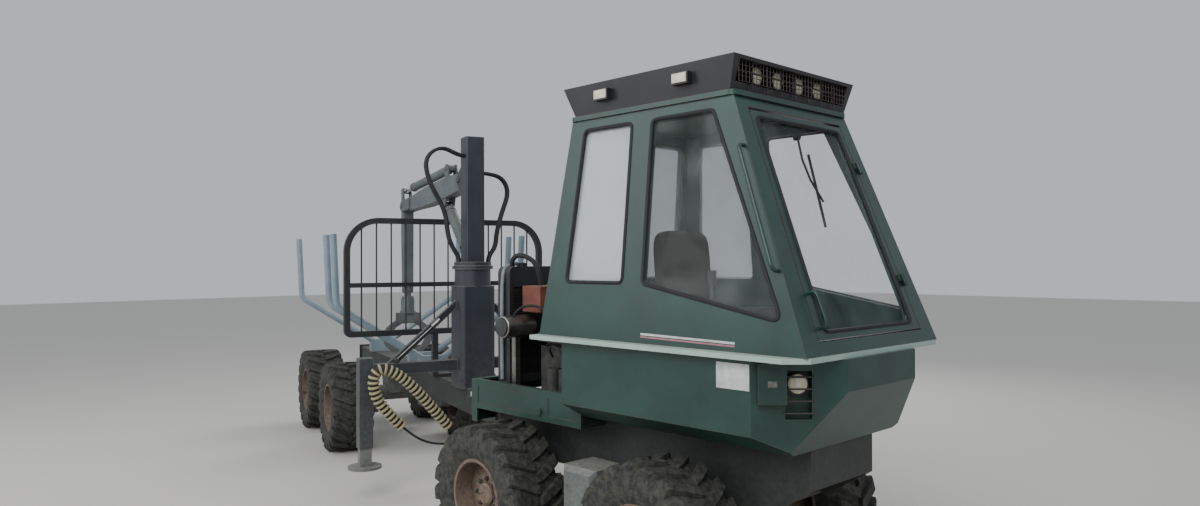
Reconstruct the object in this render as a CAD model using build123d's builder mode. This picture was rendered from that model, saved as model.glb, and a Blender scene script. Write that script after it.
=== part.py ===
from build123d import *
import os
from math import cos, radians, sin, tan

os.makedirs("parts", exist_ok=True)

# A small eight-wheeled forestry forwarder, hinged at its middle. Millimetres, +Z up.
# Each piece is drawn in the frame of its own half of the machine: zero is on the ground under
# the steering pin, +X points forward and +Y to the machine's left. The two placings below set
# the halves in the machine's frame, the rear one turned by the steering angle it is parked at.
pivot_x = 951
pivot_y = -637
parked_turn = -16
front_half = Location((pivot_x, pivot_y, 0))
rear_half = Location((pivot_x, pivot_y, 0), (0, 0, parked_turn))

# Wheels, the same on both halves
tyre_r = 442.5
tyre_w = 400
lug_h = 26
lug_count = 8
wall_r = 345
tread_in = 50
bead_in = 7
# a lug's outline from above, right of the tread's middle: distance out and distance round
lug_outline = ((8, -49), (8, -8), (tyre_w / 2 - 12, 49), (tyre_w / 2 - 12, 8))
rim_r = 222
rim_w = 330
rim_wall = 10
flange_h = 14
wheel_y = 650
wheel_gap = 1380
hub_r = 95
spindle_r = 40
spindle_l = 110
running_gap = 5
seat_gap = 0.3

# Bogies: gear cases between the wheels of one side
front_bogie_x = 1320
rear_bogie_x = -3650
arm_h = 190
arm_in_y = 330
arm_out_y = wheel_y - tyre_w / 2 - 10
case_l = 280
case_out_y = 600
case_low_z = 250
case_top_z = 700
axle_r = 85

# Rams: pins, ears and the gap between a pair of ears
ram_pin_r = 16
ear_t = 14
ram_gap = 46
ram_eye_w = 40
ram_eye_r = 31
neck_l = 62
gland_l = 40
ram_grip = 50
ram_slack = 40
crane_gap = 66
crane_eye_w = 60
steer_limit = 38
ram_front = (330, 180, 890)
ram_rear = (-360, 200, 890)

# Steering pin and its lugs
pin_r = 35
lug_r = 105
lug_t = 32
lug_low_z = 575
lug_high_z = 805
pin_play = 0.3

# Front frame
plate_t = 16
chassis_y = 285
chassis_low_z = 600
chassis_top_z = 979.7
chassis_rear_x = 200
chassis_front_x = 2700

# Engine tray and what stands in it
tray_y = 510
tray_t = 12
tray_low_z = 905
tray_skirt_z = 812
tray_top_z = 1100
tray_rear_x = 158
tray_lip = 45
panel_sink = 4

# Cab
tub_y = 660
tub_rear_x = 1265
tub_top_z = 1442
tub_wall = 30
belt_t = 26
belt_y = 719
belt_rear_x = 1042
belt_front_x = 2905
belt_rim = 205
nose_x = 2926
tub_bend_x = nose_x - 326
nose_y = 338
nose_break_z = 1290
keel_x = nose_x - 207
keel_y = 288
keel_z = 980
chine_z = 1075
cab_wall = 40
cab_foot_z = tub_top_z + belt_t
roof_z = 2735
cab_rear_foot_x = belt_rear_x + 16
cab_rear_roof_x = 1225
cab_front_foot_x = belt_front_x - 5
cab_front_roof_x = 2412
cab_foot_y = 655
cab_roof_y = 530
roof_t = 26
roof_lap = 14
glass_t = 6

# Lamps, handle and rail on the cab; the lamp pocket lies in the tub's chamfered front corners
pocket_x = nose_x - 166
pocket_z = 1275
pocket_w = 126
pocket_h = 230
pocket_depth = 70
pocket_wall = 16
lamp_r = 50
lock_box = (140, 195, 45)
lock_box_at = (nose_x - 258, 1332)
handle_y = -470
handle_z = (1590, 1750)
handle_out = 45
handle_r = 9
rail_z = (1860, 2470)
rail_out = 45
rail_r = 10

# Crane: radii run rearwards from the pillar's axis, in the plane the boom moves in
pillar_x = -950
collar_z = 1870
pillar_w = 160
pillar_top_z = 2950
boom_pin_r = 150
boom_pin_z = 2600
boom_l = 1900
boom_droop = 3.5
boom_w = 110
boom_h = 180
stick_l = 880
stick_w = boom_w - 2 * running_gap
heel_r = 175
heel_turn = 75
boom_up = 70
stick_in = 46
stick_out = 78
link_l = 90
link_w = 60
rotator_h = 130
jaw_pin_y = 70

# Rear frame and bunk
beam_w = 200
beam_low_z = 660
beam_top_z = 860
beam_front_x = -170
beam_rear_x = -4760
tow_z = 740
tow_t = 30
tow_r = 50
tow_reach = 60
tow_bore_r = 20
headboard_x = -1620
board_top_z = 2290
board_low_z = 1250
board_y = 930
board_shoulder_r = 300
board_foot_r = 60
board_tube = 50
board_rail_z = 1680
bar_r = 7
bar_count = 13
stake_r = 30
stake_top_z = 2160
stake_top_y = 930
stake_bend_z = 1500
stake_bend_y = 900
stake_root_y = 100
stake_root_z = 980
stake_bend_r = 130
bunk_x = (-2100, -2450, -4100)

# Support legs beside the crane
leg_y = 900
leg_w = 90
leg_low_z = 430
leg_top_z = 1130
foot_z = 270
foot_r = 130


def keep(piece, label, place):
    """Set a finished piece in the machine's frame and write it."""
    placed = piece.moved(place)
    placed.label = label
    export_step(placed, f"parts/{label}.step")


def outline(plane, points, radius=0):
    """A closed outline of straight runs, its corners rounded if a radius is given."""
    with BuildSketch(plane) as face:
        with BuildLine():
            Polyline(*points, close=True)
        make_face()
        if radius:
            fillet(face.vertices(), radius)
    return face.sketch


def box_between(low, high, mode=Mode.ADD):
    """A plain block by two opposite corners, added to the piece being made or cut from it."""
    size = [abs(b - a) for a, b in zip(low, high)]
    middle = tuple((a + b) / 2 for a, b in zip(low, high))
    with Locations(middle):
        Box(*size, mode=mode)


# Wheels. Both are drawn round the wheel's centre with the axle along Y and the outside at -Y.
def tyre_ring(y, radius):
    """The tyre's section square to its axle: a polygon round a circle of this radius."""
    with BuildSketch(Plane.XZ.offset(-y)) as ring:
        RegularPolygon(radius, 2 * lug_count, major_radius=False, rotation=90 / lug_count)
    return ring.sketch


# Tyre: flats all round, so that each lug stands on one flat and spans its shoulder
with BuildPart() as tyre:
    tread_r = tyre_r - lug_h
    bore_r = rim_r + seat_gap
    extrude(tyre_ring(-tyre_w / 2, tread_r), amount=-tyre_w)
    extrude(tyre_ring(-tyre_w / 2, bore_r), amount=-tyre_w, mode=Mode.SUBTRACT)
    for end in (0, -1):
        wall = tyre.faces().sort_by(Axis.Y)[end]
        chamfer(wall.outer_wire().edges(), length=tread_r - wall_r, length2=tread_in, reference=wall)
        wall = tyre.faces().sort_by(Axis.Y)[end]
        chamfer(wall.inner_wires()[0].edges(), length=wall_r - seat_gap - bore_r,
                length2=(tyre_w - rim_w) / 2 + bead_in, reference=wall)
    for way in (-1, 1):
        for step in range(lug_count):
            turn = Location((0, 0, 0), (0, (step + 0.25 + 0.25 * way) * 360 / lug_count, 0))
            with BuildSketch(Plane(turn * Location((0, 0, wall_r + 10), (0, 0, 90)))) as foot:
                Polygon(*[(way * out, round_by) for out, round_by in lug_outline], align=None)
            extrude(foot.sketch, amount=tyre_r - wall_r - 10)

hub_in_y = wheel_y - arm_out_y - running_gap
with BuildPart() as rim:
    with BuildSketch(Plane.YZ):
        with BuildLine():
            barrel = rim_w / 2
            Polyline(
                (-barrel, rim_r), (barrel, rim_r), (barrel, rim_r + flange_h), (barrel + 8, rim_r + flange_h),
                (barrel + 8, rim_r - rim_wall), (-30, rim_r - rim_wall), (-60, hub_r + 20), (-60, hub_r),
                (hub_in_y, hub_r), (hub_in_y, 0), (-105, 0), (-105, 55), (-95, 70), (-76, 70),
                (-76, hub_r + 25), (-46, rim_r - rim_wall), (-barrel - 8, rim_r - rim_wall),
                (-barrel - 8, rim_r + flange_h), (-barrel, rim_r + flange_h), close=True)
        make_face()
    revolve(axis=Axis.Y)
    with Locations(Location((0, hub_in_y - spindle_l / 2, 0), (90, 0, 0))):
        Cylinder(spindle_r + pin_play, spindle_l + 2, mode=Mode.SUBTRACT)

# name, half of the machine, distance along it, side (-1 is the machine's right)
wheels = [(f"{end}_{side}_{row}", place, bogie_x + reach, way)
          for end, place, bogie_x in (("front", front_half, front_bogie_x), ("rear", rear_half, rear_bogie_x))
          for side, way in (("right", -1), ("left", 1))
          for row, reach in (("lead", wheel_gap / 2), ("trail", -wheel_gap / 2))]
for name, place, x, way in wheels:
    turn = Location((x, way * wheel_y, tyre_r), (0, 0, 0 if way < 0 else 180))
    keep(tyre.part, f"tyre_{name}", place * turn)
    keep(rim.part, f"rim_{name}", place * turn)


# Bogies and axles
with BuildPart() as bogie_case:
    box_between((-case_l / 2, -case_out_y, case_low_z), (case_l / 2, -arm_in_y, case_top_z))
    chamfer(bogie_case.faces().sort_by(Axis.Y)[0].edges(), 32)

with BuildPart() as bogie:
    with BuildSketch(Plane.XZ.offset(arm_in_y)):
        with Locations((0, tyre_r)):
            SlotCenterToCenter(wheel_gap, arm_h)
    extrude(amount=arm_out_y - arm_in_y)
    add(bogie_case.part)
    with Locations(*[Location((reach, -arm_out_y - spindle_l / 2 + 2, tyre_r), (90, 0, 0))
                     for reach in (-wheel_gap / 2, wheel_gap / 2)]):
        Cylinder(spindle_r, spindle_l)

for end, place, bogie_x, top_z, half_w in (
        ("front", front_half, front_bogie_x, chassis_low_z, chassis_y + plate_t),
        ("rear", rear_half, rear_bogie_x, beam_low_z, beam_w / 2)):
    with BuildPart() as bogies:
        for turn in (0, 180):
            with Locations(Location((bogie_x, 0, 0), (0, 0, turn))):
                add(bogie.part)
        with Locations(Location((bogie_x, 0, tyre_r), (90, 0, 0))):
            Cylinder(axle_r, 2 * arm_in_y + 4)
        with BuildSketch(Plane.XY.offset(tyre_r)):
            with Locations((bogie_x, 0)):
                Rectangle(240, 2 * half_w - 60)
        extrude(amount=top_z - tyre_r, taper=-4)
    keep(bogies.part, f"bogies_{end}", place)


# Front frame: two plates, a floor, a front cross plate and the steering lugs
with BuildPart() as front_frame:
    side_outline = [(chassis_rear_x, chassis_low_z), (2440, chassis_low_z), (chassis_front_x, 770),
                    (chassis_front_x, chassis_top_z), (chassis_rear_x, chassis_top_z)]
    extrude(outline(Plane.XZ.offset(chassis_y), side_outline), amount=plate_t)
    mirror(about=Plane.XZ)
    box_between((chassis_rear_x, -chassis_y, chassis_low_z), (2400, chassis_y, chassis_low_z + plate_t))
    for x, half_w in ((chassis_rear_x, 105), (900, chassis_y), (1700, chassis_y), (2350, chassis_y)):
        box_between((x, -half_w, chassis_low_z), (x + plate_t, half_w, chassis_top_z - 140))
    for side in (-1, 1):
        for low, high in ((-ram_gap / 2 - ear_t, -ram_gap / 2), (ram_gap / 2, ram_gap / 2 + ear_t)):
            box_between((ram_front[0] - 40, side * 130, ram_front[2] + low),
                        (ram_front[0] + 40, side * chassis_y, ram_front[2] + high))
        with Locations((ram_front[0], side * ram_front[1], ram_front[2])):
            Cylinder(ram_pin_r, ram_gap + 2 * ear_t + 16)
    extrude(outline(Plane.YZ.offset(chassis_front_x - plate_t),
                    [(-chassis_y, 770), (chassis_y, 770), (chassis_y, chassis_top_z),
                     (-chassis_y, chassis_top_z)]),
            amount=plate_t)
    for z in (lug_low_z, lug_high_z - lug_t):
        with BuildSketch(Plane.XY.offset(z)):
            with BuildLine():
                Polyline((0, lug_r), (chassis_rear_x + 2, lug_r + 90), (chassis_rear_x + 2, -lug_r - 90),
                         (0, -lug_r))
                ThreePointArc((0, -lug_r), (-lug_r, 0), (0, lug_r))
            make_face()
        extrude(amount=lug_t)
    with Locations((0, 0, (lug_low_z + lug_high_z) / 2)):
        Cylinder(pin_r, lug_high_z - lug_low_z + 40)
keep(front_frame.part, "front_frame", front_half)


# Engine tray with turned-in lips, open at the front where it meets the cab
with BuildPart() as tray:
    box_between((tray_rear_x, -tray_y, tray_low_z), (tub_rear_x - seat_gap, tray_y, tray_top_z))
    box_between((tray_rear_x + tray_t, -tray_y + tray_t, tray_low_z + tray_t),
                (tub_rear_x, tray_y - tray_t, tray_top_z - tray_t), Mode.SUBTRACT)
    box_between((tray_rear_x + tray_lip, -tray_y + tray_lip, tray_top_z - tray_t - 1),
                (tub_rear_x, tray_y - tray_lip, tray_top_z + 1), Mode.SUBTRACT)
    box_between((tray_rear_x + tray_t, -chassis_y - plate_t - seat_gap, tray_low_z - 1),
                (tub_rear_x + 1, chassis_y + plate_t + seat_gap, tray_low_z + tray_t + 1), Mode.SUBTRACT)
    box_between((tray_rear_x - 1, -chassis_y - plate_t - seat_gap, tray_low_z - 1),
                (tray_rear_x + 50, chassis_y + plate_t + seat_gap, chassis_top_z + seat_gap), Mode.SUBTRACT)
    for side in (-1, 1):
        box_between((tray_rear_x, side * (chassis_y + plate_t + 8), tray_skirt_z),
                    (tray_rear_x + tray_t, side * tray_y, tray_low_z + tray_t))
        box_between((tray_rear_x, side * (tray_y - tray_t), tray_skirt_z),
                    (tray_rear_x + 60, side * tray_y, tray_low_z + tray_t))
    for side in (-1, 1):
        for low_x, high_x in ((tray_rear_x + 70, 800), (960, tub_rear_x - 40)):
            box_between((low_x, side * (tray_y - panel_sink), tray_low_z + 40),
                        (high_x, side * (tray_y + 1), tray_top_z - 45), Mode.SUBTRACT)
        with Locations(Location((880, side * (tray_y + 6), 965), (90, 0, 0))):
            Cylinder(24, 14)
keep(tray.part, "engine_tray", front_half)

# Engine, standing open behind the cab
with BuildPart() as engine:
    box_between((520, -190, 880), (1120, 190, 1330))
    for x in (600, 1040):
        box_between((x - 35, -chassis_y + seat_gap, 900), (x + 35, chassis_y - seat_gap, 960))
    box_between((540, -150, 1330), (1025, 150, 1470))
    box_between((560, -120, 1470), (1010, 120, 1530))
    with Locations(Location((505, 0, 1180), (0, 90, 0))):
        Cylinder(120, 60)
    with Locations(Location((460, 0, 1300), (0, 90, 0))):
        Cylinder(70, 60)
    for x in (620, 750, 880, 1010):
        with Locations(Location((x, -190, 1400), (90, 0, 0))):
            Cylinder(28, 110)
    box_between((590, -275, 1370), (1030, -215, 1430))
    for x, radius, height in ((700, 48, 150), (820, 48, 150), (950, 60, 110)):
        with Locations((x, -190 - radius + 6, 1120)):
            Cylinder(radius, height)
    for x in (640, 780, 920):
        with Locations(Location((x, 190, 1410), (90, 0, 0))):
            Cylinder(24, 120)
    box_between((600, 225, 1375), (960, 275, 1445))
keep(engine.part, "engine", front_half)

with BuildPart() as radiator:
    box_between((260, -360, 1070), (390, 360, 1870))
    fillet(radiator.edges().filter_by(Axis.X).group_by(Axis.Z)[-1], 45)
    for face_x, way in ((260, 1), (390, -1)):
        for low_y, high_y in ((-320, -8), (8, 320)):
            box_between((face_x - way, low_y, 1130), (face_x + way * 22, high_y, 1730), Mode.SUBTRACT)
    with Locations((325, -200, 1882)):
        Cylinder(38, 26)
    for side in (-1, 1):
        box_between((290, side * (chassis_y - 15), chassis_top_z + seat_gap),
                    (360, side * (chassis_y + 35), 1072))
keep(radiator.part, "radiator", front_half)

cleaner_at = (490, -385, 1470)
with BuildPart() as air_cleaner:
    with Locations(Location(cleaner_at, (90, 0, 0))):
        Cylinder(75, 240)
    fillet(air_cleaner.edges().filter_by(GeomType.CIRCLE), 10)
    box_between((cleaner_at[0] - 20, cleaner_at[1] - 20, tray_low_z + tray_t + seat_gap),
                (cleaner_at[0] + 20, cleaner_at[1] + 20, cleaner_at[2]))
keep(air_cleaner.part, "air_cleaner", front_half)

with BuildPart() as oil_tank:
    box_between((450, -300, 1560), (640, 0, 1740))
    fillet(oil_tank.edges(), 8)
    box_between((570, -100, 1530.3), (630, -20, 1562))
keep(oil_tank.part, "expansion_tank", front_half)


# Cab tub: chined sides and an undercut nose, from three outlines that cross
def tub_body(inset):
    """The tub's outer form, or its inside when inset by the wall."""
    with BuildPart() as body:
        side = [(tub_rear_x + inset, tub_top_z + 1 * (inset > 0)), (tub_rear_x + inset, keel_z + inset),
                (keel_x - inset, keel_z + inset), (nose_x - inset, nose_break_z + inset / 3),
                (nose_x - inset, tub_top_z + 1 * (inset > 0))]
        extrude(outline(Plane.XZ, side), amount=tub_y - inset, both=True)
        plan = [(tub_rear_x, -tub_y + inset), (tub_bend_x, -tub_y + inset),
                (nose_x - inset, -nose_y + inset / 2),
                (nose_x - inset, nose_y - inset / 2), (tub_bend_x, tub_y - inset),
                (tub_rear_x, tub_y - inset)]
        extrude(outline(Plane.XY, plan), amount=3000, mode=Mode.INTERSECT)
        across = [(-tub_y + inset, tub_top_z + 2), (-tub_y + inset, chine_z + inset / 2),
                  (-keel_y - 200, keel_z + inset), (keel_y + 200, keel_z + inset),
                  (tub_y - inset, chine_z + inset / 2), (tub_y - inset, tub_top_z + 2)]
        extrude(outline(Plane.YZ, across), amount=4000, mode=Mode.INTERSECT)
    return body.part


def chamfer_plane(side, x, z):
    """The plane of the tub's chamfered front corner on one side, facing out, at x and z."""
    run = Vector(nose_x - tub_bend_x, side * (nose_y - tub_y), 0)
    y = side * (tub_y + (nose_y - tub_y) * (x - tub_bend_x) / (nose_x - tub_bend_x))
    out = run.cross(Vector(0, 0, side))
    return Plane(origin=(x, y, z), x_dir=run, z_dir=-out if out.X < 0 else out)


with BuildPart() as tub:
    add(tub_body(0))
    add(tub_body(tub_wall), mode=Mode.SUBTRACT)
    for side in (-1, 1):
        at = chamfer_plane(side, pocket_x, pocket_z)
        with BuildSketch(at.offset(-2)) as housing:
            Rectangle(pocket_w + 2 * pocket_wall, pocket_h + 2 * pocket_wall)
        extrude(housing.sketch, amount=-pocket_depth - pocket_wall)
        with BuildSketch(at.offset(5)) as pocket:
            Rectangle(pocket_w, pocket_h)
        extrude(pocket.sketch, amount=-pocket_depth - 5, mode=Mode.SUBTRACT)
        with BuildSketch(at.offset(-pocket_depth)) as lamp:
            with Locations((0, 50)):
                Circle(lamp_r)
        extrude(lamp.sketch, amount=pocket_depth - 22)
    with BuildSketch(chamfer_plane(-1, *lock_box_at).offset(-2)) as lock_box_face:
        Rectangle(lock_box[0], lock_box[1])
    extrude(lock_box_face.sketch, amount=lock_box[2], taper=4)
keep(tub.part, "cab_tub", front_half)

with BuildPart() as belt:
    tip = 90
    plan = [(belt_rear_x, -belt_y), (belt_front_x - tip, -belt_y), (belt_front_x, -belt_y + tip),
            (belt_front_x, belt_y - tip), (belt_front_x - tip, belt_y), (belt_rear_x, belt_y)]
    extrude(outline(Plane.XY.offset(tub_top_z), plan), amount=belt_t)
    hole_y = cab_foot_y - cab_wall
    box_between((tub_rear_x + tub_wall, -hole_y + 10, tub_top_z - 1),
                (belt_front_x - belt_rim, hole_y - 10, cab_foot_z + 1), Mode.SUBTRACT)
keep(belt.part, "belt_flange", front_half)


# Cab frame: posts, sills and panels in one, its windows cut
def lean(foot, top, z):
    """Where an edge that leans from foot to top stands at height z."""
    return foot + (top - foot) * (z - cab_foot_z) / (roof_z - cab_foot_z)


def cab_body(inset, low, high):
    """The cab's leaning outer form between two heights, or its inside."""
    with BuildPart() as body:
        side = [(lean(cab_rear_foot_x, cab_rear_roof_x, low) + inset, low),
                (lean(cab_front_foot_x, cab_front_roof_x, low) - inset, low),
                (lean(cab_front_foot_x, cab_front_roof_x, high) - inset, high),
                (lean(cab_rear_foot_x, cab_rear_roof_x, high) + inset, high)]
        extrude(outline(Plane.XZ, side), amount=cab_foot_y, both=True)
        across = [(way * (lean(cab_foot_y, cab_roof_y, z) - inset), z)
                  for way, z in ((-1, low), (1, low), (1, high), (-1, high))]
        extrude(outline(Plane.YZ, across), amount=4000, mode=Mode.INTERSECT)
    return body.part


# windows of the side walls, as x and z of their corners
rear_quarter = [(1262, 1785), (1722, 1785), (1722, 2672), (1338, 2672)]
front_quarter = [(1872, 1785), (cab_front_foot_x - 138, 1622), (cab_front_roof_x - 122, 2672), (1872, 2672)]
# the rear wall's window and the front's door opening, as y and z of their corners
rear_window = [(-520, 1790), (520, 1790), (455, 2660), (-455, 2660)]
window_corner = 35

# door: its outline by y and z, and the two hinges up its left edge
door_gap = 6
door_head_gap = 14
door_t = 34
door_foot = (515, 1530)
door_head = (440, 2680)
hinge_z = (1800, 2430)
hinge_r = 11
hinge_pin_r = 6
hinge_l = 32
leaf_t = 8


def door_edge(z):
    """The point of the hinges' line at height z, in front of the gap at the door's left edge."""
    share = (z - door_foot[1]) / (door_head[1] - door_foot[1])
    y = door_foot[0] + (door_head[0] - door_foot[0]) * share
    return (lean(cab_front_foot_x, cab_front_roof_x, z) + hinge_r + leaf_t, y - door_gap / 2, z)


hinge_line = Vector(*door_edge(door_head[1])) - Vector(*door_edge(door_foot[1]))


def hinge_half(z, side):
    """One half of a hinge at height z: side 1 is the frame's, with the pin, and -1 the door's."""
    at = Plane(origin=door_edge(z), x_dir=(0, 1, 0), z_dir=hinge_line)
    start = -hinge_l if side > 0 else seat_gap
    with BuildPart() as half:
        with BuildSketch(at.offset(start)):
            Circle(hinge_r)
        extrude(amount=hinge_l)
        with BuildSketch(at.offset(start)):
            with Locations((side * 20, hinge_r - leaf_t / 2 + 2)):
                Rectangle(40, leaf_t)
            with Locations((side * 32, hinge_r + leaf_t / 2)):
                Rectangle(16, leaf_t + 12)
        extrude(amount=hinge_l)
        with BuildSketch(at.offset(-hinge_l)):
            Circle(hinge_pin_r + (0 if side > 0 else pin_play))
        extrude(amount=2 * hinge_l + 4, mode=Mode.ADD if side > 0 else Mode.SUBTRACT)
    return half.part


with BuildPart() as cab_frame:
    add(cab_body(0, cab_foot_z, roof_z))
    add(cab_body(cab_wall, cab_foot_z - 1, roof_z + 1), mode=Mode.SUBTRACT)
    for corners in (rear_quarter, front_quarter):
        extrude(outline(Plane.XZ, corners, window_corner), amount=900, both=True, mode=Mode.SUBTRACT)
    extrude(outline(Plane.YZ.offset(900), rear_window, window_corner), amount=500, mode=Mode.SUBTRACT)
    door_hole = [(-door_foot[0], door_foot[1]), door_foot, door_head, (-door_head[0], door_head[1])]
    hole_x = cab_front_roof_x - 112
    extrude(outline(Plane.YZ.offset(hole_x), door_hole), amount=cab_front_foot_x + 200 - hole_x,
            mode=Mode.SUBTRACT)
    for z in hinge_z:
        add(hinge_half(z, 1))
    posts = [(lean(cab_front_foot_x, cab_front_roof_x, z) - 22, -lean(cab_foot_y, cab_roof_y, z),
              z) for z in rail_z]
    (low_x, low_y, low), (high_x, high_y, high) = posts
    with BuildLine() as rail_line:
        FilletPolyline((low_x, low_y + 8, low), (low_x, low_y - rail_out, low),
                       (high_x, high_y - rail_out, high),
                       (high_x, high_y + 8, high), radius=3 * rail_r)
    with BuildSketch(Plane(origin=rail_line.line @ 0, z_dir=rail_line.line % 0)):
        Circle(rail_r)
    sweep(path=rail_line.line)
keep(cab_frame.part, "cab_frame", front_half)

with BuildPart() as roof:
    plan = [(cab_rear_roof_x - roof_lap, -cab_roof_y - roof_lap),
            (cab_front_roof_x + roof_lap, -cab_roof_y - roof_lap),
            (cab_front_roof_x + roof_lap, cab_roof_y + roof_lap),
            (cab_rear_roof_x - roof_lap, cab_roof_y + roof_lap)]
    extrude(outline(Plane.XY.offset(roof_z), plan, 40), amount=roof_t)
keep(roof.part, "roof", front_half)

# Glass, set in the middle of the walls
with BuildPart() as side_glass:
    mid = (cab_wall - glass_t) / 2
    for corners in (rear_quarter, front_quarter):
        extrude(outline(Plane.XZ, corners, window_corner), amount=900, both=True)
    extrude(outline(Plane.YZ.offset(900), rear_window, window_corner), amount=500)
    pane_zone = [cab_body(mid, cab_foot_z, roof_z), cab_body(mid + glass_t, cab_foot_z - 1, roof_z + 1)]
    add(pane_zone[0], mode=Mode.INTERSECT)
    add(pane_zone[1], mode=Mode.SUBTRACT)
keep(side_glass.part, "cab_glass", front_half)

# Front door: a frame round the windscreen that fills the front opening
door_outline = [(-door_foot[0] + door_gap, door_foot[1] + door_gap),
                (door_foot[0] - door_gap, door_foot[1] + door_gap),
                (door_head[0] - door_gap, door_head[1] - door_head_gap),
                (-door_head[0] + door_gap, door_head[1] - door_head_gap)]
screen_outline = [(-436, 1572), (436, 1572), (392, 2632), (-392, 2632)]


def front_slab(corners, depth_in, depth, radius=0):
    """A slab in the leaning plane of the cab's front, its corners given by y and z."""
    with BuildPart() as slab:
        side = [(lean(cab_front_foot_x, cab_front_roof_x, z) - depth_in - extra, z)
                for z, extra in ((1400, 0), (2800, 0), (2800, depth), (1400, depth))]
        extrude(outline(Plane.XZ, side), amount=700, both=True)
        zone_x = cab_front_roof_x - 412
        extrude(outline(Plane.YZ.offset(zone_x), corners, radius), amount=cab_front_foot_x + 300 - zone_x,
                mode=Mode.INTERSECT)
    return slab.part


with BuildPart() as door:
    add(front_slab(door_outline, 0, door_t))
    add(front_slab(screen_outline, -2, door_t + 4, window_corner), mode=Mode.SUBTRACT)
    for z in hinge_z:
        add(hinge_half(z, -1))
    out = Vector(roof_z - cab_foot_z, 0, cab_front_foot_x - cab_front_roof_x).normalized()
    low, high = [Vector(lean(cab_front_foot_x, cab_front_roof_x, z), handle_y, z) for z in handle_z]
    with BuildLine() as handle_line:
        FilletPolyline(low - out * 10, low + out * handle_out, high + out * handle_out, high - out * 10,
                       radius=3 * handle_r)
    with BuildSketch(Plane(origin=handle_line.line @ 0, z_dir=handle_line.line % 0)):
        Circle(handle_r)
    sweep(path=handle_line.line)
keep(door.part, "front_door", front_half)

with BuildPart() as windscreen:
    add(front_slab(screen_outline, (door_t - glass_t) / 2, glass_t, window_corner))
keep(windscreen.part, "windscreen", front_half)

# Lamp rack on the roof: a black flared box with a barred front
rack_low_z = roof_z + roof_t
rack_h = 169
rack_top_z = rack_low_z + rack_h
rack_wall = 10
rack_mouth_y = 515
rack_bars = 7
rack_bar = 6
rack_bar_x = 2424
with BuildPart() as rack:
    def rack_body(inset, low, high):
        """The rack's flared form, or its inside."""
        with BuildPart() as body:
            side = [(1264 + inset, low), (2400 - inset, low), (2450 - inset, high), (1190 + inset, high)]
            extrude(outline(Plane.XZ, side), amount=700, both=True)
            across = [(-544 + inset, low), (544 - inset, low), (572 - inset, high), (-572 + inset, high)]
            extrude(outline(Plane.YZ, across), amount=4000, mode=Mode.INTERSECT)
        return body.part
    add(rack_body(0, rack_low_z, rack_top_z))
    add(rack_body(rack_wall, rack_low_z - 1, rack_top_z - rack_wall), mode=Mode.SUBTRACT)
    box_between((2350, -rack_mouth_y, rack_low_z + 42), (2500, rack_mouth_y, rack_top_z - 18), Mode.SUBTRACT)
    for step in range(1, rack_bars + 1):
        y = -rack_mouth_y + step * 2 * rack_mouth_y / (rack_bars + 1)
        with Locations((rack_bar_x, y, (rack_low_z + rack_top_z) / 2)):
            Box(rack_bar, rack_bar, rack_h - 20)
    with Locations((rack_bar_x, 0, (rack_low_z + rack_top_z) / 2 + 10)):
        Box(rack_bar, 2 * rack_mouth_y + 10, rack_bar)
    # round lamps hung behind the bars, square ones on both sides
    for y in (-290, -100, 100, 290):
        with Locations(Location((2350, y, rack_top_z - 65), (0, 90, 0))):
            Cylinder(lamp_r, 60)
        box_between((2335, y - 12, rack_top_z - 40), (2365, y + 12, rack_top_z - rack_wall + 1))
    for way in (-1, 1):
        for x in (1531, 2118):
            box_between((x - 55, way * 548, rack_top_z - 110), (x + 55, way * 600, rack_top_z - 48))
keep(rack.part, "lamp_rack", front_half)


# Seat and consoles
seat_x = (1600, 2080)
seat_y = 240
seat_z = 1420
cushion_t = 120
back_l = 560
lever_x = 2160
lever_y = 390
with BuildPart() as seat:
    box_between((seat_x[0] + 50, -150, keel_z + tub_wall), (seat_x[1] - 130, 150, seat_z))
    with BuildSketch(Plane.XY.offset(seat_z)):
        with Locations(((seat_x[0] + seat_x[1]) / 2, 0)):
            RectangleRounded(seat_x[1] - seat_x[0], 2 * seat_y, 60)
    extrude(amount=cushion_t)
    back = [(seat_x[0] - 10, seat_z + 80), (seat_x[0] + 100, seat_z + 80),
            (seat_x[0] + 50, seat_z + cushion_t + back_l), (seat_x[0] - 40, seat_z + cushion_t + back_l)]
    extrude(outline(Plane.XZ.offset(10 - seat_y), back, 30), amount=2 * seat_y - 20)
keep(seat.part, "seat", front_half)

with BuildPart() as consoles:
    for way in (-1, 1):
        side = [(1750, keel_z + tub_wall), (2180, keel_z + tub_wall), (2250, 1560), (2230, 1640),
                (1780, 1610)]
        extrude(outline(Plane.XZ.offset(-way * lever_y - 70), side), amount=140)
        with Locations((lever_x, way * lever_y, 1650)):
            Cone(48, 20, 70)
        with Locations((lever_x, way * lever_y, 1740)):
            Cylinder(11, 130)
        with Locations((lever_x, way * lever_y, 1815)):
            Cylinder(24, 80)
keep(consoles.part, "consoles", front_half)


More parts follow.
